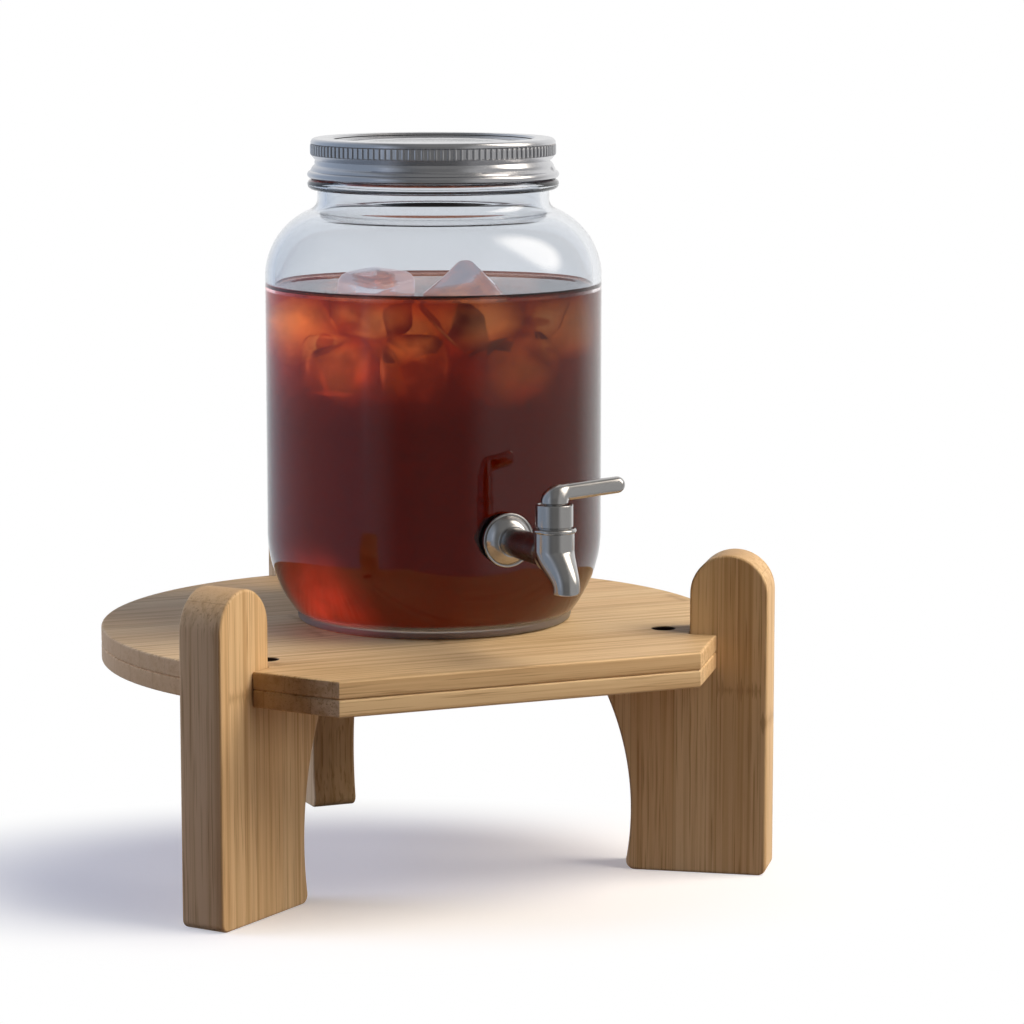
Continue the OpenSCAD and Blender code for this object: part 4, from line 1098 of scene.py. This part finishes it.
# the paper runs out into the white backdrop, and into the room in what glass and metal mirror
right, near = g["middle"]
spread = addNode(tree, "ShaderNodeMapping", {
    "vector_type": "TEXTURE", "Vector": addNode(tree, "ShaderNodeTexCoord").outputs["Object"],
    "Location": (sideways * right - forward * near) * mm, "Rotation": (0, 0, -heading),
    "Scale": (1, g["squeeze"], 1)}).outputs[0]
away = addNode(tree, "ShaderNodeVectorMath", {"operation": "LENGTH", 0: spread})
fade = addNode(tree, "ShaderNodeMapRange", {
    "interpolation_type": "SMOOTHSTEP", "Value": away.outputs["Value"], "From Min": g["fade"][0],
    "From Max": g["fade"][1]})
faded = addNode(tree, "ShaderNodeMath", {"operation": "MULTIPLY", 0: fade.outputs[0], 1: seen})
depth = addNode(tree, "ShaderNodeSeparateXYZ", {0: spread}).outputs["Y"]
behind = addNode(tree, "ShaderNodeMapRange", {
    "Value": depth, "From Min": -0.2, "From Max": 0.1, "To Min": 0.25, "To Max": 1.0})
white = addNode(tree, "ShaderNodeMath", {
    "operation": "MAXIMUM", 0: paths["Is Camera Ray"], 1: behind.outputs[0]})
far = addNode(tree, "ShaderNodeEmission", {"Color": (1, 1, 1, 1), "Strength": white.outputs[0]})
beyond = addNode(tree, "ShaderNodeMixShader", {
    0: paths["Is Glossy Ray"], 1: far.outputs[0], 2: addNode(tree, "ShaderNodeBsdfTransparent").outputs[0]})
both = addNode(tree, "ShaderNodeMixShader", {0: faded.outputs[0], 1: close.outputs[0], 2: beyond.outputs[0]})
addNode(tree, "ShaderNodeOutputMaterial", {"Surface": both.outputs[0]})
floorShape = bmesh.new()
bmesh.ops.create_circle(floorShape, cap_ends=True, segments=64, radius=g["floor"])
toObject("floor", floorShape, floorMaterial)

world = bpy.data.worlds.new("studio")
bpy.context.scene.world = world
world.use_nodes = True
tree = world.node_tree
tree.nodes.clear()
paths = addNode(tree, "ShaderNodeLightPath").outputs
# white backdrop behind the jar and a dim room behind the camera
direction = addNode(tree, "ShaderNodeTexCoord").outputs["Generated"]
facing, across = (addNode(tree, "ShaderNodeVectorMath", {
    "operation": "DOT_PRODUCT", 0: direction, 1: way}).outputs["Value"] for way in (forward, sideways))
clear = addNode(tree, "ShaderNodeMath", {
    "operation": "MAXIMUM", 0: paths["Is Glossy Ray"], 1: paths["Is Transmission Ray"]}).outputs[0]
# in mirror-like surfaces the room is brighter to both sides and bluer to the left, and the backdrop reaches
# further round on the left
aside = addNode(tree, "ShaderNodeMath", {"operation": "ABSOLUTE", 0: across})
sides = addNode(tree, "ShaderNodeMapRange", {
    "interpolation_type": "SMOOTHSTEP", "Value": aside.outputs[0], "From Min": g["sides"][0],
    "From Max": g["sides"][1]})
walls, reach = (addNode(tree, "ShaderNodeMapRange", {
    "Value": across, "From Min": -1.0, "From Max": 1.0, "To Min": onLeft, "To Max": onRight}).outputs[0]
    for onLeft, onRight in (g["mirrorSides"], g["backdropFrom"]))
mirrored = addNode(tree, "ShaderNodeMath", {
    "operation": "MULTIPLY_ADD", 0: sides.outputs[0], 1: walls, 2: g["mirrorFront"]})
least = addNode(tree, "ShaderNodeMix", {
    "data_type": "FLOAT", "Factor": clear, "A": g["front"], "B": mirrored.outputs[0]})
room = addNode(tree, "ShaderNodeMapRange", {
    "interpolation_type": "SMOOTHSTEP", "Value": facing, "From Min": reach, "From Max": g["backdropTo"],
    "To Min": least.outputs["Result"], "To Max": 1.0})
height = addNode(tree, "ShaderNodeSeparateXYZ", {0: direction}).outputs["Z"]
rise = addNode(tree, "ShaderNodeMapRange", {
    "interpolation_type": "SMOOTHSTEP", "Value": height, "From Min": 0.0, "From Max": g["overheadTo"],
    "To Max": g["overhead"]})
ceiling = addNode(tree, "ShaderNodeMath", {"operation": "MULTIPLY", 0: rise.outputs[0], 1: clear})
around = addNode(tree, "ShaderNodeMath", {"operation": "MAXIMUM", 0: room.outputs[0], 1: ceiling.outputs[0]})
sky = [g["ambient"] * v for v in linear(g["sky"])[:3]] + [1]
leftwards = addNode(tree, "ShaderNodeMapRange", {
    "Value": across, "From Min": g["left"][0], "From Max": g["left"][1]})
shaded = addNode(tree, "ShaderNodeMix", {
    "data_type": "RGBA", "Factor": leftwards.outputs[0], "A": (1, 1, 1, 1), "B": linear(g["leftShade"])})
ambient = addNode(tree, "ShaderNodeMix", {
    "data_type": "RGBA", "Factor": clear, "A": sky, "B": shaded.outputs["Result"]})
shown = addNode(tree, "ShaderNodeMix", {
    "data_type": "RGBA", "Factor": paths["Is Camera Ray"], "A": ambient.outputs["Result"], "B": (1, 1, 1, 1)})
level = addNode(tree, "ShaderNodeMix", {
    "data_type": "FLOAT", "Factor": paths["Is Camera Ray"], "A": around.outputs[0], "B": 1.0})
backdrop = addNode(tree, "ShaderNodeBackground", {
    "Color": shown.outputs["Result"], "Strength": level.outputs["Result"]})
addNode(tree, "ShaderNodeOutputWorld", {"Surface": backdrop.outputs[0]})

target = Vector((0, standY * mm, g["aim"]))
# lamps by how far right, towards the camera and up from the middle of the object they hang, in metres
# glass and metal mirror two of them, and the others only light what is matt
lamps = {"keySoftbox": {"at": (1.2, 0.25, 1.25), "size": (1.1, 1.1), "power": 22, "colour": "#FFF4E6"},
         "keyDiffuser": {"at": (1.25, -0.05, 1.0), "size": (1.0, 1.9), "power": 25, "colour": "#FFF4E6"},
         "sideCard": {"at": (1.28, 0.72, 0.15), "size": (0.5, 0.7), "power": 5.5, "colour": "#FFF6EC"},
         "fillCard": {"at": (-0.95, 0.95, 0.35), "size": (0.34, 1.3), "power": 0.4, "colour": "#E4E9FF"},
         "coolSide": {"at": (-1.5, 0.0, 0.4), "size": (0.7, 1.0), "power": 16.0, "colour": "#CDD9FF"}}
mirroredLamps = ("keyDiffuser", "fillCard")
for name, lamp in lamps.items():
    right, near, up = lamp["at"]
    data = bpy.data.lights.new(name, "AREA")
    data.shape = "RECTANGLE"
    data.size, data.size_y = lamp["size"]
    data.energy = lamp["power"]
    data.color = linear(lamp["colour"])[:3]
    if name in mirroredLamps:
        # bright in the middle and soft towards its edges, as glass and metal mirror it
        data.use_nodes = True
        tree = data.node_tree
        spot = addNode(tree, "ShaderNodeNewGeometry").outputs["Parametric"]
        off = addNode(tree, "ShaderNodeVectorMath", {"operation": "DISTANCE", 0: spot, 1: (0.5, 0.5, 0)})
        soft = addNode(tree, "ShaderNodeMapRange", {
            "interpolation_type": "SMOOTHSTEP", "Value": off.outputs["Value"], "From Min": 0.5,
            "From Max": 0.25})
        tree.links.new(soft.outputs[0], tree.nodes["Emission"].inputs["Strength"])
    softbox = bpy.data.objects.new(name, data)
    softbox.location = target + sideways * right - forward * near + Vector((0, 0, up))
    softbox.rotation_euler = (target - softbox.location).to_track_quat("-Z", "Y").to_euler()
    softbox.visible_glossy = softbox.visible_transmission = name in mirroredLamps
    bpy.context.scene.collection.objects.link(softbox)

lens = bpy.data.cameras.new("camera")
lens.sensor_width = c["sensor"]
lens.lens = c["focal"] / c["image"] * c["sensor"]
camera = bpy.data.objects.new("camera", lens)
camera.location = (-math.sin(azimuth) * c["distance"] * mm, (standY - math.cos(azimuth) * c["distance"]) * mm,
                   c["height"] * mm)
camera.rotation_euler = (math.radians(90 - c["pitch"]), 0, -heading)
bpy.context.scene.collection.objects.link(camera)
bpy.context.scene.camera = camera
bpy.context.scene.view_settings.view_transform = "Standard"
print("stage: floor, lamps, camera")
